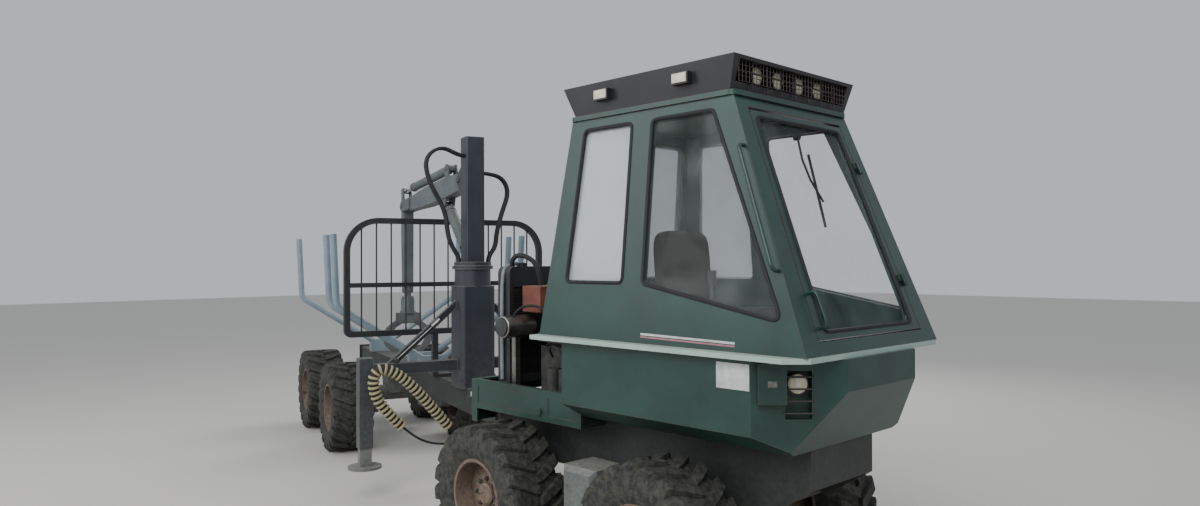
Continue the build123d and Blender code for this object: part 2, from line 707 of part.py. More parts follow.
# Rear frame: a box beam with its hinge block and the ears of the steering rams
with BuildPart() as rear_frame:
    with BuildSketch(Plane.XY.offset(lug_low_z + lug_t + 6)):
        Circle(lug_r - 10)
        with Locations((beam_front_x / 2, 0)):
            Rectangle(-beam_front_x, 150)
    extrude(amount=lug_high_z - lug_low_z - 2 * lug_t - 12)
    box_between((beam_rear_x, -beam_w / 2, beam_low_z), (beam_front_x, beam_w / 2, beam_top_z))
    for way in (-1, 1):
        for z in (ram_rear[2] - ram_gap / 2 - ear_t, ram_rear[2] + ram_gap / 2):
            box_between((ram_rear[0] - 40, way * 60, z), (ram_rear[0] + 40, way * 240, z + ear_t))
        box_between((ram_rear[0] - 40, way * 60, beam_top_z - 2),
                    (ram_rear[0] + 40, way * 100, ram_rear[2] + ram_gap / 2 + ear_t))
    box_between((beam_rear_x - plate_t, -beam_w / 2 - 20, beam_low_z - 40),
                (beam_rear_x, beam_w / 2 + 20, beam_top_z + 20))
    with BuildSketch(Plane.XY.offset(tow_z)):
        with Locations((beam_rear_x - plate_t - tow_reach / 2, 0)):
            Rectangle(tow_reach, 2 * tow_r)
        with Locations((beam_rear_x - plate_t - tow_reach, 0)):
            Circle(tow_r)
            Circle(tow_bore_r, mode=Mode.SUBTRACT)
    extrude(amount=tow_t)
    Cylinder(pin_r + pin_play, 4000, mode=Mode.SUBTRACT)
keep(rear_frame.part, "rear_frame", rear_half)


# Headboard: a bent tube frame with upright bars
def board_top(y):
    """The height of the headboard's outer edge at a distance from its middle."""
    past = abs(y) - (board_y - board_shoulder_r)
    if past <= 0:
        return board_top_z
    return board_top_z - board_shoulder_r + (board_shoulder_r ** 2 - past ** 2) ** 0.5


def board_outline(inset):
    """The headboard's outline with round shoulders, set in from the outside."""
    with BuildSketch(Plane.YZ.offset(headboard_x - board_tube / 2)) as face:
        with Locations((0, (board_low_z + board_top_z) / 2)):
            Rectangle(2 * (board_y - inset), board_top_z - board_low_z - 2 * inset)
        fillet(face.vertices().group_by(Axis.Y)[-1], board_shoulder_r - inset)
        fillet(face.vertices().group_by(Axis.Y)[0], board_foot_r - inset / 2)
    return face.sketch


with BuildPart() as headboard:
    extrude(board_outline(0), amount=board_tube)
    extrude(board_outline(board_tube), amount=board_tube, mode=Mode.SUBTRACT)
    box_between((headboard_x - board_tube / 2, 10 - board_y, board_rail_z),
                (headboard_x + board_tube / 2, board_y - 10, board_rail_z + 40))
    for step in range(bar_count):
        y = (step - (bar_count - 1) / 2) * 2 * (board_y - 20) / (bar_count + 1)
        top = board_top(abs(y) + bar_r) - board_tube / 2
        with Locations((headboard_x, y, (board_low_z + top) / 2)):
            Cylinder(bar_r, top - board_low_z - 20)
    for y in (-150, 100):
        box_between((headboard_x - 25, y, beam_top_z), (headboard_x + 25, y + 50, board_low_z + 20))
    box_between((headboard_x - 40, -150, beam_top_z), (headboard_x + 40, 150, beam_top_z + 30))
keep(headboard.part, "headboard", rear_half)

# Bunk stakes: bent tubes on saddles
with BuildPart() as bunks:
    for x in bunk_x:
        for way in (-1, 1):
            with BuildLine() as bend:
                FilletPolyline((x, way * stake_root_y, stake_root_z), (x, way * stake_bend_y, stake_bend_z),
                               (x, way * stake_top_y, stake_top_z), radius=stake_bend_r)
            with BuildSketch(Plane(origin=bend.line @ 0, z_dir=bend.line % 0)):
                Circle(stake_r)
            sweep(path=bend.line)
        box_between((x - 45, -140, beam_top_z), (x + 45, 140, stake_root_z + 20))
keep(bunks.part, "bunks", rear_half)


# Crane base with its support legs
with BuildPart() as crane_base:
    with BuildSketch(Plane.XY.offset(beam_top_z)):
        with Locations((pillar_x, 0)):
            Rectangle(300, 300)
    extrude(amount=840)
    fillet(crane_base.edges().filter_by(Axis.Z), 40)
    with Locations((pillar_x, 0, 1700 + (collar_z - 1700) / 2)):
        Cylinder(150, collar_z - 1700)
    with Locations((pillar_x, 0, collar_z - 15)):
        Cylinder(170, 30)
    for way in (-1, 1):
        box_between((pillar_x - 45, way * 100, 1000), (pillar_x + 45, way * (leg_y - 20), 1090))
        with BuildSketch(Plane.XY.offset(leg_low_z)):
            with Locations((pillar_x, way * leg_y)):
                Rectangle(leg_w + 20, leg_w + 20)
                Rectangle(leg_w, leg_w, mode=Mode.SUBTRACT)
        extrude(amount=leg_top_z - leg_low_z)
        with Locations((pillar_x, way * leg_y, leg_top_z + 6)):
            Box(leg_w + 20, leg_w + 20, 12)
        brace = [(way * 130, 1535), (way * 130, 1600), (way * 720, 1092), (way * 640, 1088)]
        extrude(outline(Plane.YZ.offset(pillar_x - 20), brace), amount=40)
keep(crane_base.part, "crane_base", rear_half)

with BuildPart() as leg:
    leg_half = leg_w / 2 - seat_gap
    box_between((-leg_half, -leg_half, foot_z + 20), (leg_half, leg_half, leg_top_z - 150))
    with Locations((0, 0, foot_z + 10)):
        Cylinder(foot_r, 20)
for side, way in (("right", -1), ("left", 1)):
    keep(leg.part, f"leg_{side}", rear_half * Location((pillar_x, way * leg_y, 0)))


# Crane. The boom's plane is drawn as XZ, with the pillar's axis at x = 0 and outwards to the rear.
def on_crane(radius, height, side=0):
    """A point of the boom's plane, in the rear half's frame."""
    return (pillar_x - radius, side, height)


crane_plane = Plane(origin=(pillar_x, 0, 0), x_dir=(-1, 0, 0), z_dir=(0, 1, 0))
boom_dir = (cos(radians(boom_droop)), -sin(radians(boom_droop)))
elbow = (boom_pin_r + boom_l * boom_dir[0], boom_pin_z + boom_l * boom_dir[1])


def along_boom(run, lift):
    """A point of the boom's plane, by its run along the boom and its height over the boom's line."""
    return (boom_pin_r + run * boom_dir[0] - lift * boom_dir[1],
            boom_pin_z + run * boom_dir[1] + lift * boom_dir[0])


def cheeks(points, gap, thick, radius=0):
    """Two like plates either side of the crane's middle plane."""
    with BuildPart() as pair:
        for start in (gap / 2, -gap / 2 - thick):
            extrude(outline(crane_plane.offset(start), points, radius), amount=thick)
    return pair.part


def cross_pin(at, radius, width):
    """A round pin across the crane's middle plane."""
    with BuildPart() as pin:
        with BuildSketch(crane_plane.offset(-width / 2)):
            with Locations(at):
                Circle(radius)
        extrude(amount=width)
    return pin.part


boom_fork = boom_w + 2 * running_gap
lift_low = (140, 1990)
lift_high = along_boom(520, -150)
tip_low = along_boom(420, 170)
heel_at = radians(heel_turn)
heel = (elbow[0] + heel_r * cos(heel_at), elbow[1] + heel_r * sin(heel_at))

with BuildPart() as pillar:
    with Locations((pillar_x, 0, collar_z + seat_gap + 15)):
        Cylinder(155, 30)
    with BuildSketch(Plane.XY.offset(collar_z + seat_gap)):
        with Locations((pillar_x, 0)):
            Rectangle(pillar_w, pillar_w)
    extrude(amount=pillar_top_z - collar_z - seat_gap)
    fillet(pillar.edges().filter_by(Axis.Z), 14)
    root = [(40, boom_pin_z - 170), (boom_pin_r, boom_pin_z - 60), (boom_pin_r + 60, boom_pin_z),
            (boom_pin_r, boom_pin_z + 60), (40, boom_pin_z + 120)]
    add(cheeks(root, boom_fork, 20, 20))
    ear = [(60, lift_low[1] - 90), (lift_low[0], lift_low[1] - 45), (lift_low[0] + 45, lift_low[1]),
           (lift_low[0], lift_low[1] + 45), (60, lift_low[1] + 60)]
    add(cheeks(ear, crane_gap, ear_t, 12))
    add(cross_pin((boom_pin_r, boom_pin_z), 25, boom_fork + 60))
    add(cross_pin(lift_low, ram_pin_r, crane_gap + 2 * ear_t + 20))
keep(pillar.part, "crane_pillar", rear_half)

with BuildPart() as boom:
    body = [along_boom(-36, -30), along_boom(-10, -58), along_boom(60, -75), along_boom(420, -boom_h / 2),
            along_boom(1100, -boom_h / 2), along_boom(boom_l - 130, -60), along_boom(boom_l - 130, 0),
            along_boom(boom_l - 240, 58), along_boom(1100, boom_h / 2), along_boom(380, boom_h / 2),
            along_boom(60, 70), along_boom(-10, 50),
            along_boom(-36, 26)]
    extrude(outline(crane_plane.offset(-boom_w / 2), body, 10), amount=boom_w)
    fork = [(boom_l - 300, -60), (boom_l, -55), (boom_l + 55, 0), (boom_l, 55), (boom_l - 300, 58)]
    add(cheeks([along_boom(*point) for point in fork], boom_w, 16, 14))
    for ear in ([(430, -60), (486, -190), (554, -190), (640, -60)],
                [(340, 60), (388, 208), (452, 208), (470, 60)]):
        add(cheeks([along_boom(*point) for point in ear], crane_gap, ear_t, 10))
    add(cross_pin(tip_low, ram_pin_r, crane_gap + 2 * ear_t + 16))
    add(cross_pin(elbow, 22, boom_w + 44))
    add(cross_pin((boom_pin_r, boom_pin_z), 25 + pin_play, 900), mode=Mode.SUBTRACT)
keep(boom.part, "boom", rear_half)


# The stick hangs straight down at rest. Its heel stands above the elbow and takes the ram.
stick_tip = (elbow[0], elbow[1] - stick_l)
with BuildPart() as stick:
    body = [(elbow[0] - 55, elbow[1] - 60), (elbow[0] - 55, elbow[1] + 40), (elbow[0] + 10, elbow[1] + 70),
            (elbow[0] + 60, elbow[1] + 40), (elbow[0] + 75, elbow[1] - 260),
            (stick_tip[0] + 45, stick_tip[1] + 60),
            (stick_tip[0] + 35, stick_tip[1] - 30), (stick_tip[0] - 35, stick_tip[1] - 30),
            (stick_tip[0] - 45, stick_tip[1] + 60)]
    extrude(outline(crane_plane.offset(-stick_w / 2), body, 10), amount=stick_w)
    horn = [(elbow[0] - 40, elbow[1] + 10), (heel[0] - 38, heel[1] - 10), (heel[0] - 12, heel[1] + 36),
            (heel[0] + 34, heel[1] + 10), (elbow[0] + 66, elbow[1] - 40)]
    add(cheeks(horn, crane_gap, ear_t, 12))
    add(cross_pin(elbow, 22 + pin_play, 900), mode=Mode.SUBTRACT)
    with Locations(on_crane(stick_tip[0], stick_tip[1])):
        Box(200, link_w + 6, 150, mode=Mode.SUBTRACT)
    add(cross_pin(stick_tip, ram_pin_r, stick_w + 16))
keep(stick.part, "stick", rear_half)


# Hoses: looped off the pillar's sides and led down to its foot, by height and distance out
hose_r = 14
hose_rows = (6, 42)
hose_foot = collar_z + seat_gap + 30
hose_routes = ((-1, ((pillar_w / 2, 2790), (180, 2790), (300, 2860), (390, 2760), (340, 2570), (245, 2330),
                     (225, 2120), (195, 2000), (130, 1970), (130, hose_foot))),
               (1, ((pillar_w / 2, 2650), (165, 2650), (270, 2640), (285, 2500), (235, 2320), (205, 2150),
                    (190, 2020), (130, 1975), (130, hose_foot))))


def bend_radii(points):
    """The largest arc that each corner of a route has room for, when two corners share a run."""
    radii = []
    for before, corner, after in zip(points, points[1:], points[2:]):
        first, second = Vector(*corner) - Vector(*before), Vector(*after) - Vector(*corner)
        half_turn = radians(first.get_angle(second)) / 2
        radii.append(0.45 * min(first.length, second.length) / tan(half_turn))
    return radii


with BuildPart() as hoses:
    for way, route in hose_routes:
        for row in hose_rows:
            points = [(pillar_x + row, way * out, z) for out, z in route]
            with BuildLine() as hose_line:
                FilletPolyline(*points, radius=bend_radii(points))
            with BuildSketch(Plane(origin=hose_line.line @ 0, z_dir=hose_line.line % 0)):
                Circle(hose_r)
            sweep(path=hose_line.line)
keep(hoses.part, "crane_hoses", rear_half)


# Rams
def ram(lengths, bore_r, rod_r, eye_w):
    """A ram's barrel and rod, drawn along +X from the barrel's pin, with both pins along Y.

    lengths are its pin to pin lengths as built, closed and opened."""
    built, closed, opened = lengths
    barrel_l = closed - ram_eye_r - gland_l
    rod_l = opened - barrel_l + ram_grip
    with BuildPart() as barrel:
        with Locations(Location((0, 0, 0), (90, 0, 0))):
            Cylinder(ram_eye_r, eye_w)
        with Locations((neck_l / 2, 0, 0)):
            Box(neck_l, eye_w, 1.4 * ram_eye_r)
        with Locations(Location(((barrel_l + neck_l) / 2, 0, 0), (0, 90, 0))):
            Cylinder(bore_r, barrel_l - neck_l)
        with Locations(Location((barrel_l - gland_l / 2, 0, 0), (0, 90, 0))):
            Cylinder(bore_r + 4, gland_l)
        with Locations(Location(((barrel_l + neck_l) / 2 + 8, 0, 0), (0, 90, 0))):
            Cylinder(rod_r + pin_play, barrel_l - neck_l - 8, mode=Mode.SUBTRACT)
        with Locations(Location((0, 0, 0), (90, 0, 0))):
            Cylinder(ram_pin_r + pin_play, 2 * eye_w, mode=Mode.SUBTRACT)
    with BuildPart() as rod:
        with Locations(Location((built - rod_l / 2 - ram_pin_r / 2, 0, 0), (0, 90, 0))):
            Cylinder(rod_r, rod_l - ram_pin_r)
        with Locations(Location((built, 0, 0), (90, 0, 0))):
            Cylinder(ram_eye_r, eye_w)
            Cylinder(ram_pin_r, 2 * eye_w, mode=Mode.SUBTRACT)
    return barrel.part, rod.part


def pins_apart(start, end):
    """The distance between two points."""
    return (Vector(*end) - Vector(*start)).length


def turned(point, angle, about):
    """A point of the boom's plane, turned about another by an angle in degrees, upwards positive."""
    x, z = point[0] - about[0], point[1] - about[1]
    c, s = cos(radians(angle)), sin(radians(angle))
    return (about[0] + x * c - z * s, about[1] + x * s + z * c)


# name, start and end in the boom's plane, what the end turns about, its turn when closed and when
# opened, barrel and rod radius
crane_rams = (("lift", lift_low, lift_high, (boom_pin_r, boom_pin_z), 0, boom_up, 48, 26),
              ("stick", tip_low, heel, elbow, stick_out, -stick_in, 42, 23))
for name, start, end, about, closed_at, opened_at, bore_r, rod_r in crane_rams:
    lengths = (pins_apart(start, end), pins_apart(start, turned(end, closed_at,
                                                                about)) - ram_slack * (closed_at > 0),
               pins_apart(start, turned(end, opened_at, about)) + ram_slack)
    barrel, rod = ram(lengths, bore_r, rod_r, crane_eye_w)
    run = Vector(*on_crane(*end)) - Vector(*on_crane(*start))
    seat = rear_half * Plane(origin=on_crane(*start), x_dir=run, z_dir=run.cross(Vector(0, 1, 0))).location
    keep(barrel, f"{name}_barrel", seat)
    keep(rod, f"{name}_rod", seat)


def steer_pins(side, turn):
    """The pins of one steering ram in the front half's frame, with the rear half at a turn."""
    c, s = cos(radians(turn)), sin(radians(turn))
    x, y = ram_rear[0], side * ram_rear[1]
    return (ram_front[0], side * ram_front[1], ram_front[2]), (x * c - y * s, x * s + y * c, ram_rear[2])


for name, side in (("right", -1), ("left", 1)):
    start, end = steer_pins(side, parked_turn)
    lengths = (pins_apart(start, end), pins_apart(*steer_pins(side, -side * steer_limit)),
               pins_apart(*steer_pins(side, side * steer_limit)) + ram_slack)
    barrel, rod = ram(lengths, 36, 16, ram_eye_w)
    run = Vector(*end) - Vector(*start)
    seat = front_half * Plane(origin=start, x_dir=run, z_dir=run.cross(Vector(0, 0, 1))).location
    keep(barrel, f"steer_barrel_{name}", seat)
    keep(rod, f"steer_rod_{name}", seat)


# Link, rotator and grapple, hanging from the stick's tip
rotator_top = stick_tip[1] - link_l
rotator_foot = rotator_top - rotator_h
tip_x = pillar_x - stick_tip[0]
with BuildPart() as link:
    add(cross_pin(stick_tip, 32, link_w))
    with Locations((tip_x, 0, (stick_tip[1] + rotator_top) / 2)):
        Box(50, link_w, link_l)
    with Locations((tip_x, 0, rotator_top + 12)):
        Cylinder(62, 24)
    with Locations((tip_x, 0, (rotator_top + rotator_foot) / 2)):
        Cylinder(70, rotator_h)
    add(cross_pin(stick_tip, ram_pin_r + pin_play, 400), mode=Mode.SUBTRACT)
keep(link.part, "rotator", rear_half)

head_h = 80
jaw_pin_z = rotator_foot - head_h - 20
with BuildPart() as head:
    with Locations((tip_x, 0, rotator_foot - seat_gap - 12)):
        Cylinder(80, 24)
    for x in (-50, 34):
        box_between((tip_x + x, -115, jaw_pin_z - 30), (tip_x + x + 16, 115, rotator_foot - 20))
    for side in (-1, 1):
        with Locations(Location((tip_x, side * jaw_pin_y, jaw_pin_z), (0, 90, 0))):
            Cylinder(ram_pin_r, 120)
keep(head.part, "grapple_head", rear_half)

for name, side in (("right", -1), ("left", 1)):
    with BuildPart() as jaw:
        hook = [(jaw_pin_y - 28, 20), (jaw_pin_y + 10, 34), (jaw_pin_y + 45, 10), (220, -70), (262, -170),
                (235, -260), (150, -330), (60, -352), (4, -346), (4, -326), (70, -318), (150, -270),
                (190, -200),
                (185, -130), (130, -70), (jaw_pin_y, -32), (jaw_pin_y - 28, -20)]
        for x in (-30, 14):
            extrude(outline(Plane.YZ.offset(tip_x + x), [(side * y, jaw_pin_z + z) for y, z in hook]),
                    amount=16)
        for y, z in ((235, -150), (175, -285), (60, -335)):
            with Locations(Location((tip_x, side * y, jaw_pin_z + z), (0, 90, 0))):
                Cylinder(12, 60)
        with Locations(Location((tip_x, side * jaw_pin_y, jaw_pin_z), (0, 90, 0))):
            Cylinder(ram_pin_r + pin_play, 300, mode=Mode.SUBTRACT)
    keep(jaw.part, f"jaw_{name}", rear_half)


# Corrugated guard of the right support leg's hoses, bent over beside the leg
guard_route = ((-800, -270, 570), (-790, -545, 915), (-800, -770, 1080), (-815, -868, 1030),
               (-830, -850, 860),
               (-834, -760, 720), (-834, -640, 600))
guard_r = 48
with BuildPart() as guard:
    with BuildLine() as bend:
        FilletPolyline(*guard_route, radius=90)
    with BuildSketch(Plane(origin=bend.line @ 0, z_dir=bend.line % 0)):
        Circle(guard_r)
    sweep(path=bend.line)
    box_between((pillar_x + 45 + seat_gap, -725, 1012), (-795, -695, 1042))
keep(guard.part, "hose_guard", rear_half)
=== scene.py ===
import bpy
import bmesh
from math import cos, sin, tan, radians, pi, atan2
from mathutils import Matrix, Vector


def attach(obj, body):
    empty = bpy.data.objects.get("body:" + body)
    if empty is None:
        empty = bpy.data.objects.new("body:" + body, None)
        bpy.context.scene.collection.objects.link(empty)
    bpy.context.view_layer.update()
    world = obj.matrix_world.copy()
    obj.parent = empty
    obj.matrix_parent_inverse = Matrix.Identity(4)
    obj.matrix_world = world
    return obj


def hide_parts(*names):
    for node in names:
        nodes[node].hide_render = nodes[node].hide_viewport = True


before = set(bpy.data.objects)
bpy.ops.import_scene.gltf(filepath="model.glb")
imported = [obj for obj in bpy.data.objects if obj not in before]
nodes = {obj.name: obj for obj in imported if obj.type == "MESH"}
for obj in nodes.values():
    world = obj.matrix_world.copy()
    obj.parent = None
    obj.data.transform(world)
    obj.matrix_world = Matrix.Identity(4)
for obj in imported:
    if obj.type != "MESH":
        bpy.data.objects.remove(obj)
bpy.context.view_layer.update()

# The machine is drawn in two halves that meet at the steering pin. Both put zero on the ground
# under that pin, with +X forward and +Y to the machine's left.
layout = {
    "pivot": Vector((0.951, -0.637, 0.0)),
    "parkedTurn": radians(-16),
}
frontPlace = Matrix.Translation(layout["pivot"])
rearPlace = frontPlace @ Matrix.Rotation(layout["parkedTurn"], 4, "Z")


# Small helpers

def linearColour(hexText):
    channels = []
    for start in (0, 2, 4):
        value = int(hexText[start:start + 2], 16) / 255
        channels.append(value / 12.92 if value <= 0.04045 else ((value + 0.055) / 1.055) ** 2.4)
    return (*channels, 1.0)


def addNode(tree, kind, settings=None, links=None):
    node = tree.nodes.new(kind)
    for key, value in (settings or {}).items():
        if isinstance(key, str) and hasattr(node, key):
            setattr(node, key, value)
        else:
            node.inputs[key].default_value = value
    for key, source in (links or {}).items():
        tree.links.new(source, node.inputs[key])
    return node


def newMaterial(name, settings):
    material = bpy.data.materials.new(name)
    material.use_nodes = True
    tree = material.node_tree
    tree.nodes.clear()
    shader = addNode(tree, "ShaderNodeBsdfPrincipled", settings)
    addNode(tree, "ShaderNodeOutputMaterial", {}, {"Surface": shader.outputs["BSDF"]})
    place = addNode(tree, "ShaderNodeTexCoord").outputs["Object"]
    return material, tree, shader, place


def makePiece(name, bm, place, body, finish, smoothAngle=35):
    bmesh.ops.remove_doubles(bm, verts=bm.verts, dist=0.00001)
    bmesh.ops.recalc_face_normals(bm, faces=bm.faces)
    mesh = bpy.data.meshes.new(name)
    bm.to_mesh(mesh)
    bm.free()
    return keepMesh(name, mesh, place, body, finish, smoothAngle)


def keepMesh(name, mesh, place, body, finish, smoothAngle=35):
    mesh.transform(place)
    for face in mesh.polygons:
        face.use_smooth = True
    mesh.set_sharp_from_angle(angle=radians(smoothAngle))
    piece = bpy.data.objects.new(name, mesh)
    bpy.context.scene.collection.objects.link(piece)
    mesh.materials.clear()
    mesh.materials.append(finish)
    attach(piece, body)
    return piece


def addBlock(bm, low, high, edge=0.0):
    # a block by two corners, its edges eased
    size = Vector([abs(b - a) for a, b in zip(low, high)])
    middle = Vector([(a + b) / 2 for a, b in zip(low, high)])
    made = bmesh.ops.create_cube(bm, size=1.0)["verts"]
    bmesh.ops.scale(bm, vec=size, verts=made)
    if edge:
        edges = list({e for v in made for e in v.link_edges})
        made = bmesh.ops.bevel(bm, geom=edges, offset=edge, segments=2, profile=0.6, affect="EDGES")["verts"]
    bmesh.ops.translate(bm, vec=middle, verts=made)


def addRound(bm, start, end, startR, endR=None, sides=24):
    # a round bar or cone between two points
    start, end = Vector(start), Vector(end)
    run = end - start
    made = bmesh.ops.create_cone(bm, cap_ends=True, segments=sides, radius1=startR,
                                 radius2=startR if endR is None else endR, depth=run.length)["verts"]
    bmesh.ops.rotate(bm, verts=made, cent=(0, 0, 0), matrix=run.to_track_quat("Z", "Y").to_matrix())
    bmesh.ops.translate(bm, vec=(start + end) / 2, verts=made)


def addTurned(bm, start, axis, profile, sides=32, capped=True):
    # a turned form: pairs of distance along the axis and radius
    axis = Vector(axis).normalized()
    side = axis.orthogonal().normalized()
    other = axis.cross(side)
    rings = []
    for run, radius in profile:
        centre = Vector(start) + axis * run
        if radius <= 0:
            rings.append([bm.verts.new(centre)])
            continue
        rings.append([bm.verts.new(centre + (side * cos(a) + other * sin(a)) * radius)
                      for a in (2 * pi * k / sides for k in range(sides))])
    for first, second in zip(rings, rings[1:]):
        for k in range(sides):
            ring = [first[k % len(first)], first[(k + 1) % len(first)],
                    second[(k + 1) % len(second)], second[k % len(second)]]
            unique = list(dict.fromkeys(ring))
            if len(unique) > 2:
                bm.faces.new(unique)
    for ring, back in ((rings[0], True), (rings[-1], False)):
        if capped and len(ring) > 2:
            bm.faces.new(ring[::-1] if back else ring)


def hoseCurve(points, radius, sides=6):
    # a smooth hose through given points, as a curve object still to be made a mesh
    curve = bpy.data.curves.new("hose", "CURVE")
    curve.dimensions = "3D"
    curve.bevel_depth = radius
    curve.bevel_resolution = sides
    curve.use_fill_caps = True
    curve.resolution_u = 8
    spline = curve.splines.new("NURBS")
    spline.points.add(len(points) - 1)
    for spot, point in zip(spline.points, points):
        spot.co = (*point, 1)
    spline.order_u = 3
    spline.use_endpoint_u = True
    return bpy.data.objects.new("hose", curve)


def addHose(bm, points, radius, sides=4):
    holder = hoseCurve(points, radius, sides)
    mesh = bpy.data.meshes.new_from_object(holder)
    bm.from_mesh(mesh)
    bpy.data.meshes.remove(mesh)
    bpy.data.curves.remove(holder.data)


def addPrism(bm, corners, depth):
    # a flat outline given by points in space, pushed along a vector
    base = [bm.verts.new(corner) for corner in corners]
    top = [bm.verts.new(Vector(corner) + Vector(depth)) for corner in corners]
    bm.faces.new(base)
    bm.faces.new(top[::-1])
    for k in range(len(base)):
        following = (k + 1) % len(base)
        bm.faces.new((base[k], top[k], top[following], base[following]))


# Finishes. Each is named for what the real surface is, and the frames' enamel is also darkened with painted
# shade.

def paintedSteel(look):
    # sprayed machine enamel on sheet steel: faint orange peel, faded patches, pale dust on what
    # faces up or lies low, and bare brown metal along the worn edges
    material, tree, shader, place = newMaterial(look["name"], {
        "Metallic": 0.0, "IOR": 1.5, "Coat Weight": 0.15, "Coat Roughness": 0.35})
    fade = addNode(tree, "ShaderNodeTexNoise", {"Scale": 1 / look["patch"], "Detail": 5.0, "Roughness": 0.6},
                   {"Vector": place})
    fadeRamp = addNode(tree, "ShaderNodeMapRange", {"From Min": 0.35, "From Max": 0.7},
                       {"Value": fade.outputs["Fac"]})
    paint = addNode(tree, "ShaderNodeMix", {"data_type": "RGBA", 6: linearColour(look["colour"]),
                                            7: linearColour(look["faded"])}, {0: fadeRamp.outputs["Result"]})
    geometry = addNode(tree, "ShaderNodeNewGeometry")
    facing = addNode(tree, "ShaderNodeSeparateXYZ", {}, {0: geometry.outputs["Normal"]})
    height = addNode(tree, "ShaderNodeSeparateXYZ", {}, {0: place})
    up = addNode(tree, "ShaderNodeMapRange", {"From Min": 0.35, "From Max": 1.0, "To Max": look["dustTop"]},
                 {"Value": facing.outputs["Z"]})
    low = addNode(tree, "ShaderNodeMapRange", {"From Min": 1.5, "From Max": 0.3, "To Max": look["dustLow"]},
                  {"Value": height.outputs["Z"]})
    dustSum = addNode(tree, "ShaderNodeMath", {"operation": "ADD", "use_clamp": True},
                      {0: up.outputs["Result"], 1: low.outputs["Result"]})
    speckle = addNode(tree, "ShaderNodeTexNoise", {"Scale": 1 / 0.03, "Detail": 8.0, "Roughness": 0.7},
                      {"Vector": place})
    speckleRamp = addNode(tree, "ShaderNodeMapRange", {"From Min": 0.3, "From Max": 0.65},
                          {"Value": speckle.outputs["Fac"]})
    dustMask = addNode(tree, "ShaderNodeMath", {"operation": "MULTIPLY", "use_clamp": True},
                       {0: dustSum.outputs[0], 1: speckleRamp.outputs["Result"]})
    dusty = addNode(tree, "ShaderNodeMix", {"data_type": "RGBA", 7: linearColour(look["dust"])},
                    {0: dustMask.outputs[0], 6: paint.outputs[2]})
    bevel = addNode(tree, "ShaderNodeBevel", {"samples": 4, "Radius": look["edge"]})
    turn = addNode(tree, "ShaderNodeVectorMath", {"operation": "DOT_PRODUCT"},
                   {0: bevel.outputs["Normal"], 1: geometry.outputs["Normal"]})
    ragged = addNode(tree, "ShaderNodeTexNoise", {"Scale": 1 / 0.012, "Detail": 4.0}, {"Vector": place})
    wearEdge = addNode(tree, "ShaderNodeMapRange", {"From Min": 0.995, "From Max": 0.80},
                       {"Value": turn.outputs["Value"]})
    wearCut = addNode(tree, "ShaderNodeMath", {"operation": "MULTIPLY"},
                      {0: wearEdge.outputs["Result"], 1: ragged.outputs["Fac"]})
    wear = addNode(tree, "ShaderNodeMapRange", {"From Min": 0.30, "From Max": 0.42, "To Max": look["wear"]},
                   {"Value": wearCut.outputs[0]})
    spots = addNode(tree, "ShaderNodeTexNoise", {"Scale": 1 / 0.11, "Detail": 9.0, "Roughness": 0.75,
                                                 "Distortion": 0.4}, {"Vector": place})
    rustSpots = addNode(tree, "ShaderNodeMapRange", {"From Min": look["rustFrom"],
                                                     "From Max": look["rustFrom"] + 0.06},
                        {"Value": spots.outputs["Fac"]})
    bare = addNode(tree, "ShaderNodeMath", {"operation": "MAXIMUM", "use_clamp": True},
                   {0: wear.outputs["Result"], 1: rustSpots.outputs["Result"]})
    worn = addNode(tree, "ShaderNodeMix", {"data_type": "RGBA", 7: linearColour(look["under"])},
                   {0: bare.outputs[0], 6: dusty.outputs[2]})
    tree.links.new(worn.outputs[2], shader.inputs["Base Color"])
    rough = addNode(tree, "ShaderNodeMapRange", {"To Min": look["rough"], "To Max": 0.9},
                    {"Value": dustMask.outputs[0]})
    tree.links.new(rough.outputs["Result"], shader.inputs["Roughness"])
    peel = addNode(tree, "ShaderNodeTexNoise", {"Scale": 1 / 0.006, "Detail": 2.0}, {"Vector": place})
    bump = addNode(tree, "ShaderNodeBump", {"Strength": 0.12, "Distance": 0.001},
                   {"Height": peel.outputs["Fac"]})
    tree.links.new(bump.outputs["Normal"], shader.inputs["Normal"])
    return material


def mottled(look):
    # one finish in two tones broken up by a noise, with its own grain in the bump
    material, tree, shader, place = newMaterial(look["name"], {
        "Metallic": look.get("metallic", 0.0), "Specular IOR Level": 0.5})
    noise = addNode(tree, "ShaderNodeTexNoise", {"Scale": 1 / look["patch"], "Detail": 7.0, "Roughness": 0.65},
                    {"Vector": place})
    ramp = addNode(tree, "ShaderNodeMapRange", {"From Min": 0.38, "From Max": 0.66},
                   {"Value": noise.outputs["Fac"]})
    tone = addNode(tree, "ShaderNodeMix", {"data_type": "RGBA", 6: linearColour(look["colour"]),
                                           7: linearColour(look["second"])}, {0: ramp.outputs["Result"]})
    tree.links.new(tone.outputs[2], shader.inputs["Base Color"])
    rough = addNode(tree, "ShaderNodeMapRange", {"To Min": look["rough"][0], "To Max": look["rough"][1]},
                    {"Value": noise.outputs["Fac"]})
    tree.links.new(rough.outputs["Result"], shader.inputs["Roughness"])
    grain = addNode(tree, "ShaderNodeTexNoise", {"Scale": 1 / look["grain"], "Detail": 3.0}, {"Vector": place})
    bump = addNode(tree, "ShaderNodeBump", {"Strength": look["bump"], "Distance": 0.002},
                   {"Height": grain.outputs["Fac"]})
    tree.links.new(bump.outputs["Normal"], shader.inputs["Normal"])
    return material


